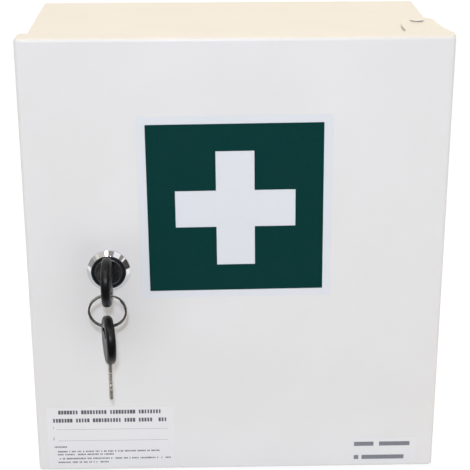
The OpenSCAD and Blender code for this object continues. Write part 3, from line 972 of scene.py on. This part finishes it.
@dataclass
class Door:
    """The door: a folded tray with an ear at each end of the hinge side, its sign and its labels."""

    name: str = "door"
    sheet: float = 1.0
    fold: float = 2.4
    flange: float = 16.0
    ear_radius: float = 11.5
    ear_taper: float = 25.5
    ear_flare: tuple[Point2, ...] = (
        (17.2, -44.4),
        (17.2, -35.5),
        (16.8, -34.0),
        (15.4, -30.0),
        (14.5, -26.5),
        (13.5, -22.0),
        (12.7, -16.0),
        (12.1, -10.0),
        (11.7, -4.5),
    )
    cut_edge: float = 0.15
    film_edge: float = 0.06
    ink: float = 0.02
    word_width: Point2 = (0.52, 0.86)
    numeral_size: float = 2.6
    staff_rows: tuple[PrintRow, ...] = (
        PrintRow(7.8, 42.5, 69.5, 2.9, 1.94, 0.14, 3),
        PrintRow(3.9, 36.3, 77.1, 2.9, 1.94, 0.14, 8),
        PrintRow(6.2, 29.4, 75.4, 0.13),
        PrintRow(6.9, 20.8, 74.6, 0.13),
        PrintRow(4.0, 16.0, 8.6, 1.1, 1.0, 0.0, 2),
        PrintRow(6.2, 12.4, 69.4, 1.1, 0.95, 0.17, 5),
        PrintRow(6.2, 10.1, 38.2, 1.1, 0.95, 0.17, 6),
        PrintRow(6.2, 6.9, 77.0, 1.1, 0.95, 0.17, 11),
        PrintRow(6.2, 4.1, 36.4, 1.1, 0.95, 0.17, 12),
    )
    contents_rows: tuple[PrintRow, ...] = (
        PrintRow(0.7, 15.2, 13.4, 3.2),
        PrintRow(17.9, 15.2, 21.0, 3.2),
        PrintRow(0.9, 4.9, 3.1, 3.2),
        PrintRow(6.2, 4.9, 29.0, 3.2),
    )
    numerals: dict[str, Point2] = field(default_factory=lambda: {"1": (3.4, 30.2), "2": (3.4, 21.6)})

    def build(self) -> None:
        """Builds and dresses every piece of the door."""
        self.tray()
        for node, look, slot in (
            ("sign_sheet", Look.SIGN_WHITE, "white_film"),
            ("sign_field", Look.SIGN_GREEN, "green_film"),
            ("staff_label", Look.PAPER, "label_paper"),
            ("contents_label", Look.CLEAR, "clear_label"),
        ):
            sticker = ease(copied(node, node + "_sticker"), self.film_edge, 2, 60)
            dress(sticker, self.name, slot, look, node)
        self.printing("staff_label", "label_paper", self.staff_rows, Look.INK)
        self.printing("contents_label", "clear_label", self.contents_rows, Look.PALE_INK)
        self.numbers()

    def tray(self) -> None:
        """Tray of folded sheet with the ears, the holes of the pins and the hole of the lock."""
        low, high = box_mm("door_panel")
        back = low.y + self.flange
        tray = folded_tray("door_tray", low, Vector((high.x, back, high.z)), self.fold, self.fold, self.sheet)
        pin = joint_mm("door_swing")
        turn = [math.pi / 2 * i / 16 for i in range(1, 17)]
        waist = pin.y + self.ear_radius - self.ear_taper
        ear = [
            (pin.x - self.ear_radius, back - 1),
            (high.x - self.fold, low.y + self.fold),
            *((pin.x + x, pin.y + y) for x, y in self.ear_flare),
            *arc((pin.x, pin.y), self.ear_radius, 0, 90, 16),
            *((pin.x - self.ear_radius * math.sin(a), waist + self.ear_taper * math.cos(a)) for a in turn),
        ]
        ears = [
            prism("ear_top", ear, high.z - self.sheet, high.z, standing(0, 0)),
            prism("ear_bottom", ear, low.z, low.z + self.sheet, standing(0, 0)),
        ]
        combine(tray, ears, "UNION")
        combine(tray, [Body().pin_holes(high.z + self.sheet), CamLock().hole(3 * self.sheet)])
        dress(ease(tray, self.cut_edge, 2, 60), self.name, "painted_door", Look.PAINT, "door_panel")

    def printing(self, label: str, slot: str, rows: Sequence[PrintRow], ink: Look) -> None:
        """Prints rows on a label: words are plain blocks, so that nothing can be read.

        Args:
            label: CAD node of the label.
            slot: Material slot of the label.
            rows: Rows, measured from the label's lower left corner.
            ink: Finish of the printing.
        """
        made = [self.row(label, row, ink) for row in rows]
        dress(joined(label + "_printing", made), self.name, slot, ink)

    def row(self, label: str, row: PrintRow, ink: Look) -> Piece:
        """Makes a row with Geometry Nodes: blocks at an even pitch, some left out between words.

        Args:
            label: CAD node of the label.
            row: The row, measured from the label's lower left corner.
            ink: Finish of the printing.

        Returns:
            The row as one mesh.
        """
        low, _ = box_mm(label)
        count = max(1, round(row.length / row.pitch)) if row.pitch else 1
        pitch = row.length / count
        least, most = self.word_width if row.pitch else (1.0, 1.0)
        values = {
            "Count": count,
            "Start": Vector((low.x + row.x + pitch / 2, low.y, low.z + row.z)) * MM,
            "Pitch": pitch * MM,
            "Block height": row.height * MM,
            "Ink thickness": self.ink * MM,
            "Least width": least,
            "Most width": most,
            "Gaps": row.gaps,
            "Seed": row.seed,
            "Material": ink.value.material(),
        }
        repeat = Repeat(label + "_row", values)
        tree, size = repeat.tree, repeat.inputs
        step = add(tree, "ShaderNodeCombineXYZ", {"X": size["Pitch"]})
        places = {"Count": size["Count"], "Start Location": size["Start"], "Offset": step}
        line = add(tree, "GeometryNodeMeshLine", places)
        chance = {"Probability": size["Gaps"], "Seed": size["Seed"]}
        space = add(tree, "FunctionNodeRandomValue", chance, data_type="BOOLEAN").outputs[3]
        left_out = {"Geometry": line, "Selection": space}
        kept = add(tree, "GeometryNodeDeleteGeometry", left_out, domain="POINT")
        widths = {2: size["Least width"], 3: size["Most width"], "Seed": size["Seed"]}
        share = add(tree, "FunctionNodeRandomValue", widths, data_type="FLOAT").outputs[1]
        width = add(tree, "ShaderNodeMath", {0: share, 1: size["Pitch"]}, operation="MULTIPLY")
        sides = {"X": width, "Y": size["Ink thickness"], "Z": size["Block height"]}
        scale = add(tree, "ShaderNodeCombineXYZ", sides)
        cube = add(tree, "GeometryNodeMeshCube", {"Size": (1, 1, 1)})
        blocks = {"Points": kept, "Instance": cube, "Scale": scale}
        return repeat.make(label + "_row", add(tree, "GeometryNodeInstanceOnPoints", blocks))

    def numbers(self) -> None:
        """Plain numerals at the start of the two ruled lines."""
        low, _ = box_mm("staff_label")
        bm = bmesh.new()
        for text, (x, z) in self.numerals.items():
            curve = bpy.data.curves.new("numeral", "FONT")
            curve.body = text
            curve.size = self.numeral_size
            curve.extrude = self.ink / 2
            made = bpy.data.objects.new("numeral", curve)
            bpy.context.scene.collection.objects.link(made)
            graph = bpy.context.evaluated_depsgraph_get()
            mesh = bpy.data.meshes.new_from_object(made.evaluated_get(graph))
            origin = Vector((low.x + x, low.y, low.z + z)) * MM
            mesh.transform(axes((MM, 0, 0), (0, 0, MM), (0, -MM, 0), origin))
            bm.from_mesh(mesh)
            bpy.data.objects.remove(made)
            bpy.data.meshes.remove(mesh)
        bmesh.ops.remove_doubles(bm, verts=bm.verts, dist=MERGE)
        bmesh.ops.recalc_face_normals(bm, faces=bm.faces)
        dress(from_bmesh("staff_label_numerals", bm), self.name, "label_paper", Look.INK)


@dataclass
class CamLock:
    """Wafer cam lock: casting, bezel, face ring, plug, wafers, cam and what clamps them.

    Heights run outwards from the door's face.
    """

    door: str = "door"
    barrel: str = "lock_barrel"
    housing_radius: float = 9.4
    flats: float = 16.4
    thread: float = 1.0
    thread_depth: float = 0.35
    thread_start: float = 0.5
    thread_stop: float = 0.3
    head_radius: float = 10.7
    head_top: float = 3.8
    head_floor: float = 1.6
    head_step: float = 2.2
    head_root: float = 0.6
    bezel_lip: float = 0.8
    bezel_foot: float = 1.5
    bezel_bead: float = 0.32
    bezel_play: float = 0.1
    bezel_slope: float = 20.0
    bezel_edge: float = 0.16
    ring_edge: float = 0.28
    plug_radius: float = 7.0
    plug_head: float = 9.05
    plug_edge: float = 0.1
    rim_bead: float = 0.42
    rim_height: float = 0.4
    play: float = 0.05
    keyway: Point2 = (2.1, 6.8)
    keyway_end: float = 0.25
    square: float = 8.0
    screw_room: float = 0.4
    wafer_width: float = 5.8
    wafer_thickness: float = 0.9
    wafer_pitch: float = 3.0
    wafer_play: float = 0.1
    wafer_edge: float = 0.06
    wafers: int = 5
    channel_play: float = 0.2
    channel_reach: float = 1.1
    channel_start: float = 3.0
    channel_end: float = -1.0

    def place(self) -> Matrix:
        """The lock's own axes: Z runs out of the door, from the door's face."""
        low, high = box_mm("lock_bezel")
        return facing_out((low.x + high.x) / 2, box_mm("door_panel")[0].y, (low.z + high.z) / 2)

    def out(self, node: str) -> Point2:
        """Measures a node along the lock's axis.

        Args:
            node: Name of the CAD node.

        Returns:
            How far it starts and ends in front of the door's face, in millimetres.
        """
        low, high = box_mm(node)
        face = box_mm("door_panel")[0].y
        return face - high.y, face - low.y

    def hole(self, depth: float) -> Piece:
        """Makes the shape of the hole in the door, with a little play round the housing.

        Args:
            depth: How far the shape runs to each side of the door's face.

        Returns:
            The shape.
        """
        play = 2 * self.play
        outline = flat_sided(self.housing_radius + play, self.flats + 2 * play, 24)
        return prism("lock_hole", outline, -depth, depth, self.place())

    def build(self) -> None:
        """Builds and dresses every piece of the lock."""
        self.housing()
        self.bezel()
        self.face_ring()
        self.plug()
        self.rim()
        self.wafer_pack()
        for node, body, look, slot, edge in (
            ("lock_washer", self.door, Look.ZINC, "plated_steel", 0.15),
            ("lock_nut", self.door, Look.NUT, "die_cast", 0.2),
            ("lock_cam", self.barrel, Look.ZINC, "plated_steel", 0.3),
            ("cam_washer", self.barrel, Look.ZINC, "plated_steel", 0.12),
            ("cam_screw", self.barrel, Look.ZINC, "plated_steel", 0.15),
        ):
            dress(ease(copied(node, node + "_plated"), edge), body, slot, look, node)

    def housing(self) -> None:
        """Casting with a threaded body that has two flats, a head, the bore and the wafer channels."""
        place = self.place()
        start, _ = self.out("lock_housing")
        lip, crest, root = self.bezel_lip, self.housing_radius, self.housing_radius - self.thread_depth
        profile: list[Point2] = [(0, start)]
        for i in range(int((lip - start - 2 * self.thread_start) / self.thread)):
            base = start + self.thread_start + i * self.thread
            profile += [(root, base), (crest, base + self.thread / 2)]
        profile += [(root, lip - self.thread_stop), (0, lip - self.thread_stop)]
        piece = lathe("lock_housing_casting", profile, place)
        side = 2 * crest
        flats = [
            prism("flat", round_rect(x0, -side, x0 + side, side, 0.1, 1), start - 1, lip, place)
            for x0 in (self.flats / 2, -self.flats / 2 - side)
        ]
        combine(piece, flats, solver="FAST")
        step, root = self.head_radius - self.head_step, lip - self.head_root
        profile = [(0, root), (step, root), (step, lip)]
        profile += [(self.head_radius, lip), (self.head_radius, self.head_top), (0, self.head_top)]
        combine(piece, [lathe("head", profile, place)], "UNION", "FAST")
        bore, seat, floor = self.plug_radius + self.play, self.plug_head + self.play, self.head_floor
        profile = [(0, start - 1), (bore, start - 1), (bore, floor)]
        profile += [(seat, floor), (seat, self.head_top + 1), (0, self.head_top + 1)]
        width = self.wafer_width + 2 * self.channel_play
        height = 2 * (self.plug_radius + self.channel_reach)
        channels = (start + self.channel_start, self.channel_end)
        cutters = [lathe("bore", profile, place), block("channels", width, height, *channels, place)]
        combine(piece, cutters, solver="FAST")
        dress(ease(piece, 0, 2), self.door, "die_cast", Look.CASTING, "lock_housing")

    def bezel(self) -> None:
        """Chrome cone with a turned foot and a rounded crown."""
        foot, crown = self.out("lock_bezel")
        low, high = box_mm("lock_bezel")
        outer = (high.x - low.x) / 2
        inner = self.head_radius + self.bezel_play
        bore = self.housing_radius + self.bezel_play
        bead = self.bezel_bead
        profile = [
            (bore, foot),
            (outer, foot),
            (outer, foot + self.bezel_foot),
            *arc((inner + bead, crown - bead), bead, self.bezel_slope, 180, 10),
            (inner, self.bezel_lip),
            (bore, self.bezel_lip),
        ]
        piece = ease(lathe("lock_bezel_chrome", profile, self.place(), 160), self.bezel_edge, 3, 20)
        dress(piece, self.door, "chrome", Look.CHROME, "lock_bezel")

    def face_ring(self) -> None:
        """Black ring with rounded rims on the head of the casting; its black partly paints the shade in the
        gap between the bezel and the plug.
        """
        foot, top = self.out("lock_face_ring")
        inner = self.plug_head + 2 * self.play
        profile = [(inner, foot), (self.head_radius, foot), (self.head_radius, top), (inner, top)]
        piece = ease(lathe("lock_face_ring_black", profile, self.place(), 128), self.ring_edge, 4)
        dress(piece, self.door, "black_plastic", Look.FACE_RING, "lock_face_ring")

    def plug(self) -> None:
        """Plug with the keyway, the wafer slots and a square end."""
        place = self.place()
        low, top = self.out("lock_plug")
        barrel_end, _ = self.out("lock_housing")
        radius, head = self.plug_radius, self.plug_head
        floor, face = self.head_floor + self.play, top - self.rim_height
        profile = [(0, barrel_end), (radius, barrel_end), (radius, floor)]
        profile += [(head, floor), (head, face), (0, face)]
        piece = lathe("lock_plug_cast", profile, place)
        combine(piece, [block("square", self.square, self.square, low, barrel_end + 1, place)], "UNION")
        blade_end = self.out("key_blade")[0] - self.keyway_end
        cutters = [block("keyway", *self.keyway, blade_end, top + 1, place)]
        width = self.wafer_width + 2 * self.wafer_play
        half = self.wafer_thickness / 2 + self.play
        for at in self.wafer_places():
            cutters.append(block("wafer_slot", width, 4 * radius, at - half, at + half, place))
        screw_end = self.out("cam_screw")[1] + self.screw_room
        cutters.append(rod("screw_hole", self.square / 4, low - 1, screw_end, place))
        combine(piece, cutters)
        dress(ease(piece, self.plug_edge, 2, 40), self.barrel, "die_cast", Look.PLUG, "lock_plug")

    def rim(self) -> None:
        """Raised bead round the face of the plug in a lighter nickel: partly rubbed by keys and fingers,
        partly a painted highlight line.
        """
        bead = self.rim_bead
        middle = (self.plug_head - bead, self.out("lock_plug")[1] - bead)
        ring = lathe("lock_plug_rim", arc(middle, bead, 0, 360, 20)[:-1], self.place(), 128)
        dress(ease(ring, 0), self.barrel, "die_cast", Look.RIM)

    def wafer_places(self) -> list[float]:
        """Where the wafers stand along the lock's axis, from the outermost inwards."""
        last = self.out("lock_wafers")[1] - self.wafer_thickness / 2
        return [last - i * self.wafer_pitch for i in range(self.wafers)]

    def wafer_pack(self) -> None:
        """Five stamped wafers, repeated along the plug by Geometry Nodes."""
        flat, half = Matrix.Identity(4), self.wafer_thickness / 2
        outline = flat_sided(self.plug_radius - self.play, self.wafer_width, 16)
        wafer = prism("one_wafer", outline, -half, half, flat)
        width, height = (size + 2 * self.wafer_play for size in self.keyway)
        combine(wafer, [block("window", width, height, -1, 1, flat)])
        ease(wafer, self.wafer_edge, 2, 60)
        values = {
            "Wafer": wafer,
            "Count": self.wafers,
            "First": self.wafer_places()[-1] * MM,
            "Pitch": self.wafer_pitch * MM,
            "Material": Look.BRASS.value.material(),
        }
        repeat = Repeat("wafer_pack", values)
        tree, size = repeat.tree, repeat.inputs
        first = add(tree, "ShaderNodeCombineXYZ", {"Z": size["First"]})
        step = add(tree, "ShaderNodeCombineXYZ", {"Z": size["Pitch"]})
        places = {"Count": size["Count"], "Start Location": first, "Offset": step}
        line = add(tree, "GeometryNodeMeshLine", places)
        one = add(tree, "GeometryNodeObjectInfo", {"Object": size["Wafer"]}).outputs["Geometry"]
        pack = add(tree, "GeometryNodeInstanceOnPoints", {"Points": line, "Instance": one})
        piece = repeat.make("lock_wafers_brass", pack)
        bpy.data.objects.remove(wafer)
        put_at(piece, self.place())
        dress(piece, self.barrel, "brass", Look.BRASS, "lock_wafers")


@dataclass
class Key:
    """A key: a moulded bow on a milled blade."""

    prefix: str
    body: str
    turn: float = 0.0
    thickness: float = 6.0
    rim: float = 2.3
    slot_radius: float = 8.6
    slot_width: float = 5.0
    slot_half: float = 45.0
    bow_edge: float = 0.45
    blade_edge: float = 0.12

    def place(self) -> Matrix:
        """Finds the key's own axes.

        Returns:
            The bow's centre, with the blade along -Y and the faces along Z.
        """
        low, high = box_mm(self.prefix + "key_bow")
        if self.prefix:
            made = axes((0, 1, 0), (0, 0, 1), (1, 0, 0), (0, 0, 0))
        else:
            made = axes((0, 0, 1), (0, -1, 0), (1, 0, 0), (0, 0, 0))
        lean = Matrix.Rotation(math.radians(self.turn), 4, "Z")
        return Matrix.Translation((low + high) / 2) @ lean @ made

    def build(self) -> None:
        """Builds and dresses the bow and the blade."""
        self.bow()
        node = self.prefix + "key_blade"
        blade = ease(copied(node, node + "_milled"), self.blade_edge, 2, 40)
        dress(blade, self.body, "key_steel", Look.BLADE, node)

    def bow(self) -> None:
        """Round bow with a full rim and a curved slot for the ring."""
        node = self.prefix + "key_bow"
        low, high = box_mm(node)
        inside = (high.z - low.z) / 2 - self.rim
        half = self.thickness / 2
        profile = [
            (0, -half),
            *arc((inside, -half + self.rim), self.rim, -90, 0, 10),
            *arc((inside, half - self.rim), self.rim, 0, 90, 10),
            (0, half),
        ]
        piece = lathe(node + "_moulded", profile, self.place(), 128)
        start, end = 90 - self.slot_half, 90 + self.slot_half
        (first,), (last,) = (arc((0, 0), self.slot_radius, a, a, 1)[:1] for a in (start, end))
        side = self.slot_width / 2
        outline = [
            *arc((0, 0), self.slot_radius + side, start, end, 24),
            *arc(last, side, end, end + 180, 12)[1:],
            *arc((0, 0), self.slot_radius - side, end, start, 24)[1:],
            *arc(first, side, start + 180, start + 360, 12)[1:-1],
        ]
        combine(piece, [prism("slot", outline, -2 * half, 2 * half, self.place())])
        dress(ease(piece, self.bow_edge, 3, 50), self.body, "black_plastic", Look.BOW, node)


@dataclass
class SplitRing:
    """Split ring: one flattened wire wound twice, with a step from the first turn to the second."""

    body: str = "ring"
    outer: float = 25.0
    wire_width: float = 1.4
    wire_thickness: float = 1.0
    turn_gap: float = 0.48
    step_half: float = 26.0
    end_margin: float = 6.0
    start_turn: float = 75.0
    sections: int = 260

    def place(self) -> Matrix:
        """Finds the ring's own axes.

        Returns:
            The ring's centre, half-way between its two swing lines, with its axis along Z.
        """
        top, low = joint_mm("ring_swing"), joint_mm("spare_key_swing")
        lean = math.atan2(low.y - top.y, top.z - low.z)
        tip = Matrix.Rotation(math.pi / 2 + lean, 4, "X")
        spin = Matrix.Rotation(math.radians(self.start_turn), 4, "Z")
        return Matrix.Translation((top + low) / 2) @ tip @ spin

    def build(self) -> None:
        """Winds the wire with Geometry Nodes and dresses it."""
        first = self.step_half + self.end_margin
        values = {
            "Radius": (self.outer - self.wire_width) / 2 * MM,
            "Wire width": self.wire_width * MM,
            "Wire thickness": self.wire_thickness * MM,
            "Pitch": (self.wire_thickness + self.turn_gap) * MM,
            "First angle": math.radians(first),
            "Last angle": math.radians(720 - first),
            "Step start": math.radians(360 - self.step_half),
            "Step end": math.radians(360 + self.step_half),
            "Sections": self.sections,
            "Material": Look.WIRE.value.material(),
        }
        repeat = Repeat("split_ring", values)
        piece = repeat.make("key_ring_wound", self.wire(repeat.tree, repeat.inputs))
        put_at(piece, self.place())
        dress(ease(piece, 0, 2), self.body, "spring_steel", Look.WIRE, "key_ring")

    @staticmethod
    def wire(tree: Tree, size: Any) -> Node:
        """Adds points on two turns, a step between them, and the wire's section along them.

        Args:
            tree: Tree that gets the nodes.
            size: The tree's inputs.

        Returns:
            The node that gives the wire.
        """
        line = add(tree, "GeometryNodeMeshLine", {"Count": size["Sections"]})
        last = add(tree, "ShaderNodeMath", {0: size["Sections"], 1: 1.0}, operation="SUBTRACT")
        index = add(tree, "GeometryNodeInputIndex")
        turns = {"To Min": size["First angle"], "To Max": size["Last angle"]}
        along = {"Value": index, "From Min": 0.0, "From Max": last, **turns}
        angle = add(tree, "ShaderNodeMapRange", along)
        step = {"From Min": size["Step start"], "From Max": size["Step end"], "To Min": -0.5, "To Max": 0.5}
        rise = add(tree, "ShaderNodeMapRange", {"Value": angle, **step}, interpolation_type="SMOOTHSTEP")
        shares = [add(tree, "ShaderNodeMath", {0: angle}, operation=kind) for kind in ("COSINE", "SINE")]
        factors = ((shares[0], "Radius"), (shares[1], "Radius"), (rise, "Pitch"))
        parts = [
            add(tree, "ShaderNodeMath", {0: share, 1: size[key]}, operation="MULTIPLY")
            for share, key in factors
        ]
        at = add(tree, "ShaderNodeCombineXYZ", dict(enumerate(parts)))
        wound = add(tree, "GeometryNodeSetPosition", {"Geometry": line, "Position": at})
        path = add(tree, "GeometryNodeMeshToCurve", {"Mesh": wound})
        upright = add(tree, "GeometryNodeSetCurveNormal", {"Curve": path}, mode="Z_UP")
        circle = add(tree, "GeometryNodeCurvePrimitiveCircle", {"Resolution": 20, "Radius": 0.5})
        sides = {"X": size["Wire width"], "Y": size["Wire thickness"], "Z": 1.0}
        shape = add(tree, "ShaderNodeCombineXYZ", sides)
        section = add(tree, "GeometryNodeTransform", {"Geometry": circle, "Scale": shape})
        swept = {"Curve": upright, "Profile Curve": section, "Fill Caps": True}
        return add(tree, "GeometryNodeCurveToMesh", swept)


# Studio


@dataclass(frozen=True)
class Lamp:
    """A square soft lamp: its place, aim and side in metres, its power in watts and its colour."""

    name: str
    at: Point3
    aim: Point3
    size: float
    watts: float
    colour: str
    mirrored: bool

    def build(self) -> None:
        """Adds the lamp to the scene; polished surfaces show it where it is mirrored."""
        data = bpy.data.lights.new(self.name, "AREA")
        data.shape = "SQUARE"
        data.size = self.size
        data.energy = self.watts
        data.color = linear(self.colour)[:3]
        made = bpy.data.objects.new(self.name, data)
        made.location = self.at
        made.rotation_euler = (Vector(self.aim) - Vector(self.at)).to_track_quat("-Z", "Y").to_euler()
        made.visible_glossy = self.mirrored
        bpy.context.scene.collection.objects.link(made)


@dataclass(frozen=True)
class Card:
    """A card that only polished surfaces show, as the room round a photographer's table.

    Its place, aim, width and height (depth for a card overhead) are in metres; its colour and
    strength are its brightness in a reflection.
    """

    name: str
    at: Point3
    aim: Point3
    width: float
    height: float
    colour: str
    strength: float = 1.0

    def build(self) -> None:
        """Adds the card to the scene."""
        turn = (Vector(self.aim) - Vector(self.at)).to_track_quat("Z", "Y").to_matrix().to_4x4()
        size = Matrix.Diagonal((self.width, self.height, 1, 1))
        bm = bmesh.new()
        bmesh.ops.create_grid(bm, x_segments=1, y_segments=1, size=0.5)
        bmesh.ops.transform(bm, matrix=Matrix.Translation(Vector(self.at)) @ turn @ size, verts=bm.verts)
        made = from_bmesh(self.name, bm)
        look = bpy.data.materials.new(self.name)
        tree = new_tree(look)
        light = {"Color": linear(self.colour), "Strength": self.strength}
        add(tree, "ShaderNodeOutputMaterial", {"Surface": add(tree, "ShaderNodeEmission", light)})
        made.data.materials.append(look)
        made.visible_camera = False
        made.visible_diffuse = False
        made.visible_transmission = False
        made.visible_shadow = False


@dataclass
class Studio:
    """Pale floor, plain soft light and the camera at the photograph's angle."""

    camera_at: Point3 = (-18.96, -906.06, 318.98)
    yaw: float = 1.47
    pitch: float = 20.823
    roll: float = -0.086
    frame_px: float = 470.0
    focal_px: float = 1302.12
    sensor: float = 36.0
    floor_gap: float = 1.2
    floor_half: float = 4.0
    floor_white: float = 1.12
    floor_share: float = 0.8
    world_light: float = 0.585
    arch_radius: float = 1.5
    arch_width: float = 1.5
    arch_y: float = -0.55
    stripes: tuple[tuple[float, float, str], ...] = (
        (-150, -68, "#A6A5A4"),
        (-68, -55, "#C2BDB8"),
        (-55, -44, "#F4EDE4"),
        (-44, -16, "#D8D2CA"),
        (-8, 19, "#9E9A96"),
        (46, 60, "#968F89"),
        (68, 150, "#524F4C"),
    )
    lamps: tuple[Lamp, ...] = (
        Lamp("top_softbox", (0.1, 0.25, 1.5), (0.0, -0.06, 0.1), 1.2, 10.8, "#FFDD80", False),
        Lamp("front_softbox", (-0.03, -1.36, 0.75), (0.0, -0.125, 0.0), 0.1, 8.85, "#E2ECFF", True),
    )
    cards: tuple[Card, ...] = (
        Card("dark_card_front", (0.0, -1.6, 0.62), (0.0, 0.0, 0.1), 4.0, 2.2, "#3A3B3D"),
        Card("dark_card_low", (0.0, -1.5, -0.15), (0.0, -1.5, 1.0), 4.0, 2.6, "#3A3B3D"),
        Card("strip_overhead", (-0.41, -0.6, 1.38), (-0.08, -0.13, 0.0), 1.3, 0.09, "#FFF8F0", 17.0),
    )

    def build(self) -> None:
        """Builds the studio."""
        self.camera()
        self.floor()
        self.world()
        for thing in (*self.lamps, *self.cards, *self.arch()):
            thing.build()

    def camera(self) -> None:
        """Camera fitted to the photograph: place, aim and lens."""
        yaw, pitch, roll = (math.radians(a) for a in (self.yaw, self.pitch, self.roll))
        ahead = Vector((math.sin(yaw) * math.cos(pitch), math.cos(yaw) * math.cos(pitch), -math.sin(pitch)))
        right = Vector((math.cos(yaw), -math.sin(yaw), 0))
        up = right.cross(ahead)
        side = math.cos(roll) * right + math.sin(roll) * up
        top = math.cos(roll) * up - math.sin(roll) * right
        data = bpy.data.cameras.new("camera")
        data.sensor_width = self.sensor
        data.lens = self.focal_px / self.frame_px * self.sensor
        data.clip_start = 0.01
        made = bpy.data.objects.new("camera", data)
        made.matrix_world = axes(side, top, -ahead, Vector(self.camera_at) * MM)
        bpy.context.scene.collection.objects.link(made)
        bpy.context.scene.camera = made

    def floor(self) -> None:
        """Large pale floor just below the part; for the camera it is white with a faint shadow."""
        bm = bmesh.new()
        bmesh.ops.create_grid(bm, x_segments=2, y_segments=2, size=self.floor_half)
        bmesh.ops.translate(bm, verts=bm.verts, vec=(0, 0, CAD_BOX[0].z - self.floor_gap * MM))
        floor = from_bmesh("studio_floor", bm)
        made = bpy.data.materials.new("studio_floor_pale")
        tree = new_tree(made)
        share = add(tree, "ShaderNodeMath", {0: self.seen(tree), 1: self.floor_share}, operation="MULTIPLY")
        pale = add(tree, "ShaderNodeBsdfDiffuse", {"Color": linear("#F4F3F1")})
        white = add(tree, "ShaderNodeEmission", {"Color": linear("#FFFFFF"), "Strength": self.floor_white})
        both = add(tree, "ShaderNodeMixShader", {0: share, 1: pale, 2: white})
        add(tree, "ShaderNodeOutputMaterial", {"Surface": both})
        floor.data.materials.append(made)

    @staticmethod
    def seen(tree: Tree) -> Node:
        """Tells what is seen from what lights the part.

        Args:
            tree: Tree that gets the nodes.

        Returns:
            The node that gives 1 for the camera, a reflection or a clear piece, and otherwise 0.
        """
        path = add(tree, "ShaderNodeLightPath").outputs
        first = {0: path["Is Camera Ray"], 1: path["Is Glossy Ray"]}
        both = {0: add(tree, "ShaderNodeMath", first, operation="MAXIMUM"), 1: path["Is Transmission Ray"]}
        return add(tree, "ShaderNodeMath", both, operation="MAXIMUM")

    def world(self) -> None:
        """Even soft light from all sides, and white where it is seen."""
        world = bpy.data.worlds.new("studio_world")
        bpy.context.scene.world = world
        tree = new_tree(world)
        light = add(tree, "ShaderNodeBackground", {"Color": linear("#F4F6FF"), "Strength": self.world_light})
        white = add(tree, "ShaderNodeBackground", {"Color": linear("#FFFFFF"), "Strength": 1.0})
        both = add(tree, "ShaderNodeMixShader", {0: self.seen(tree), 1: light, 2: white})
        add(tree, "ShaderNodeOutputWorld", {"Surface": both})

    def arch(self) -> list[Card]:
        """Places cards side by side in an arch over the part, which give the chrome its stripes.

        Returns:
            The cards.
        """
        lock = CamLock().place().translation * MM
        aim = (lock.x, self.arch_y, lock.z)
        cards = []
        for i, (start, end, colour) in enumerate(self.stripes):
            turn = math.radians((start + end) / 2)
            depth = 2 * self.arch_radius * math.tan(math.radians(end - start) / 2)
            over, up = self.arch_radius * math.sin(turn), self.arch_radius * math.cos(turn)
            at = (aim[0] + over, aim[1], aim[2] + up)
            cards.append(Card(f"arch_card_{i}", at, aim, self.arch_width, depth, colour))
        return cards


def main() -> None:
    """Builds the sub-assemblies in order and sets up the studio."""
    logging.basicConfig(level=logging.INFO, format="%(message)s")
    bpy.context.scene.view_settings.view_transform = "Standard"
    Body().build()
    Door().build()
    CamLock().build()
    Key("", "key").build()
    SplitRing().build()
    Key("spare_", "spare_key", turn=11.0).build()
    Studio().build()


if __name__ == "__main__":
    main()
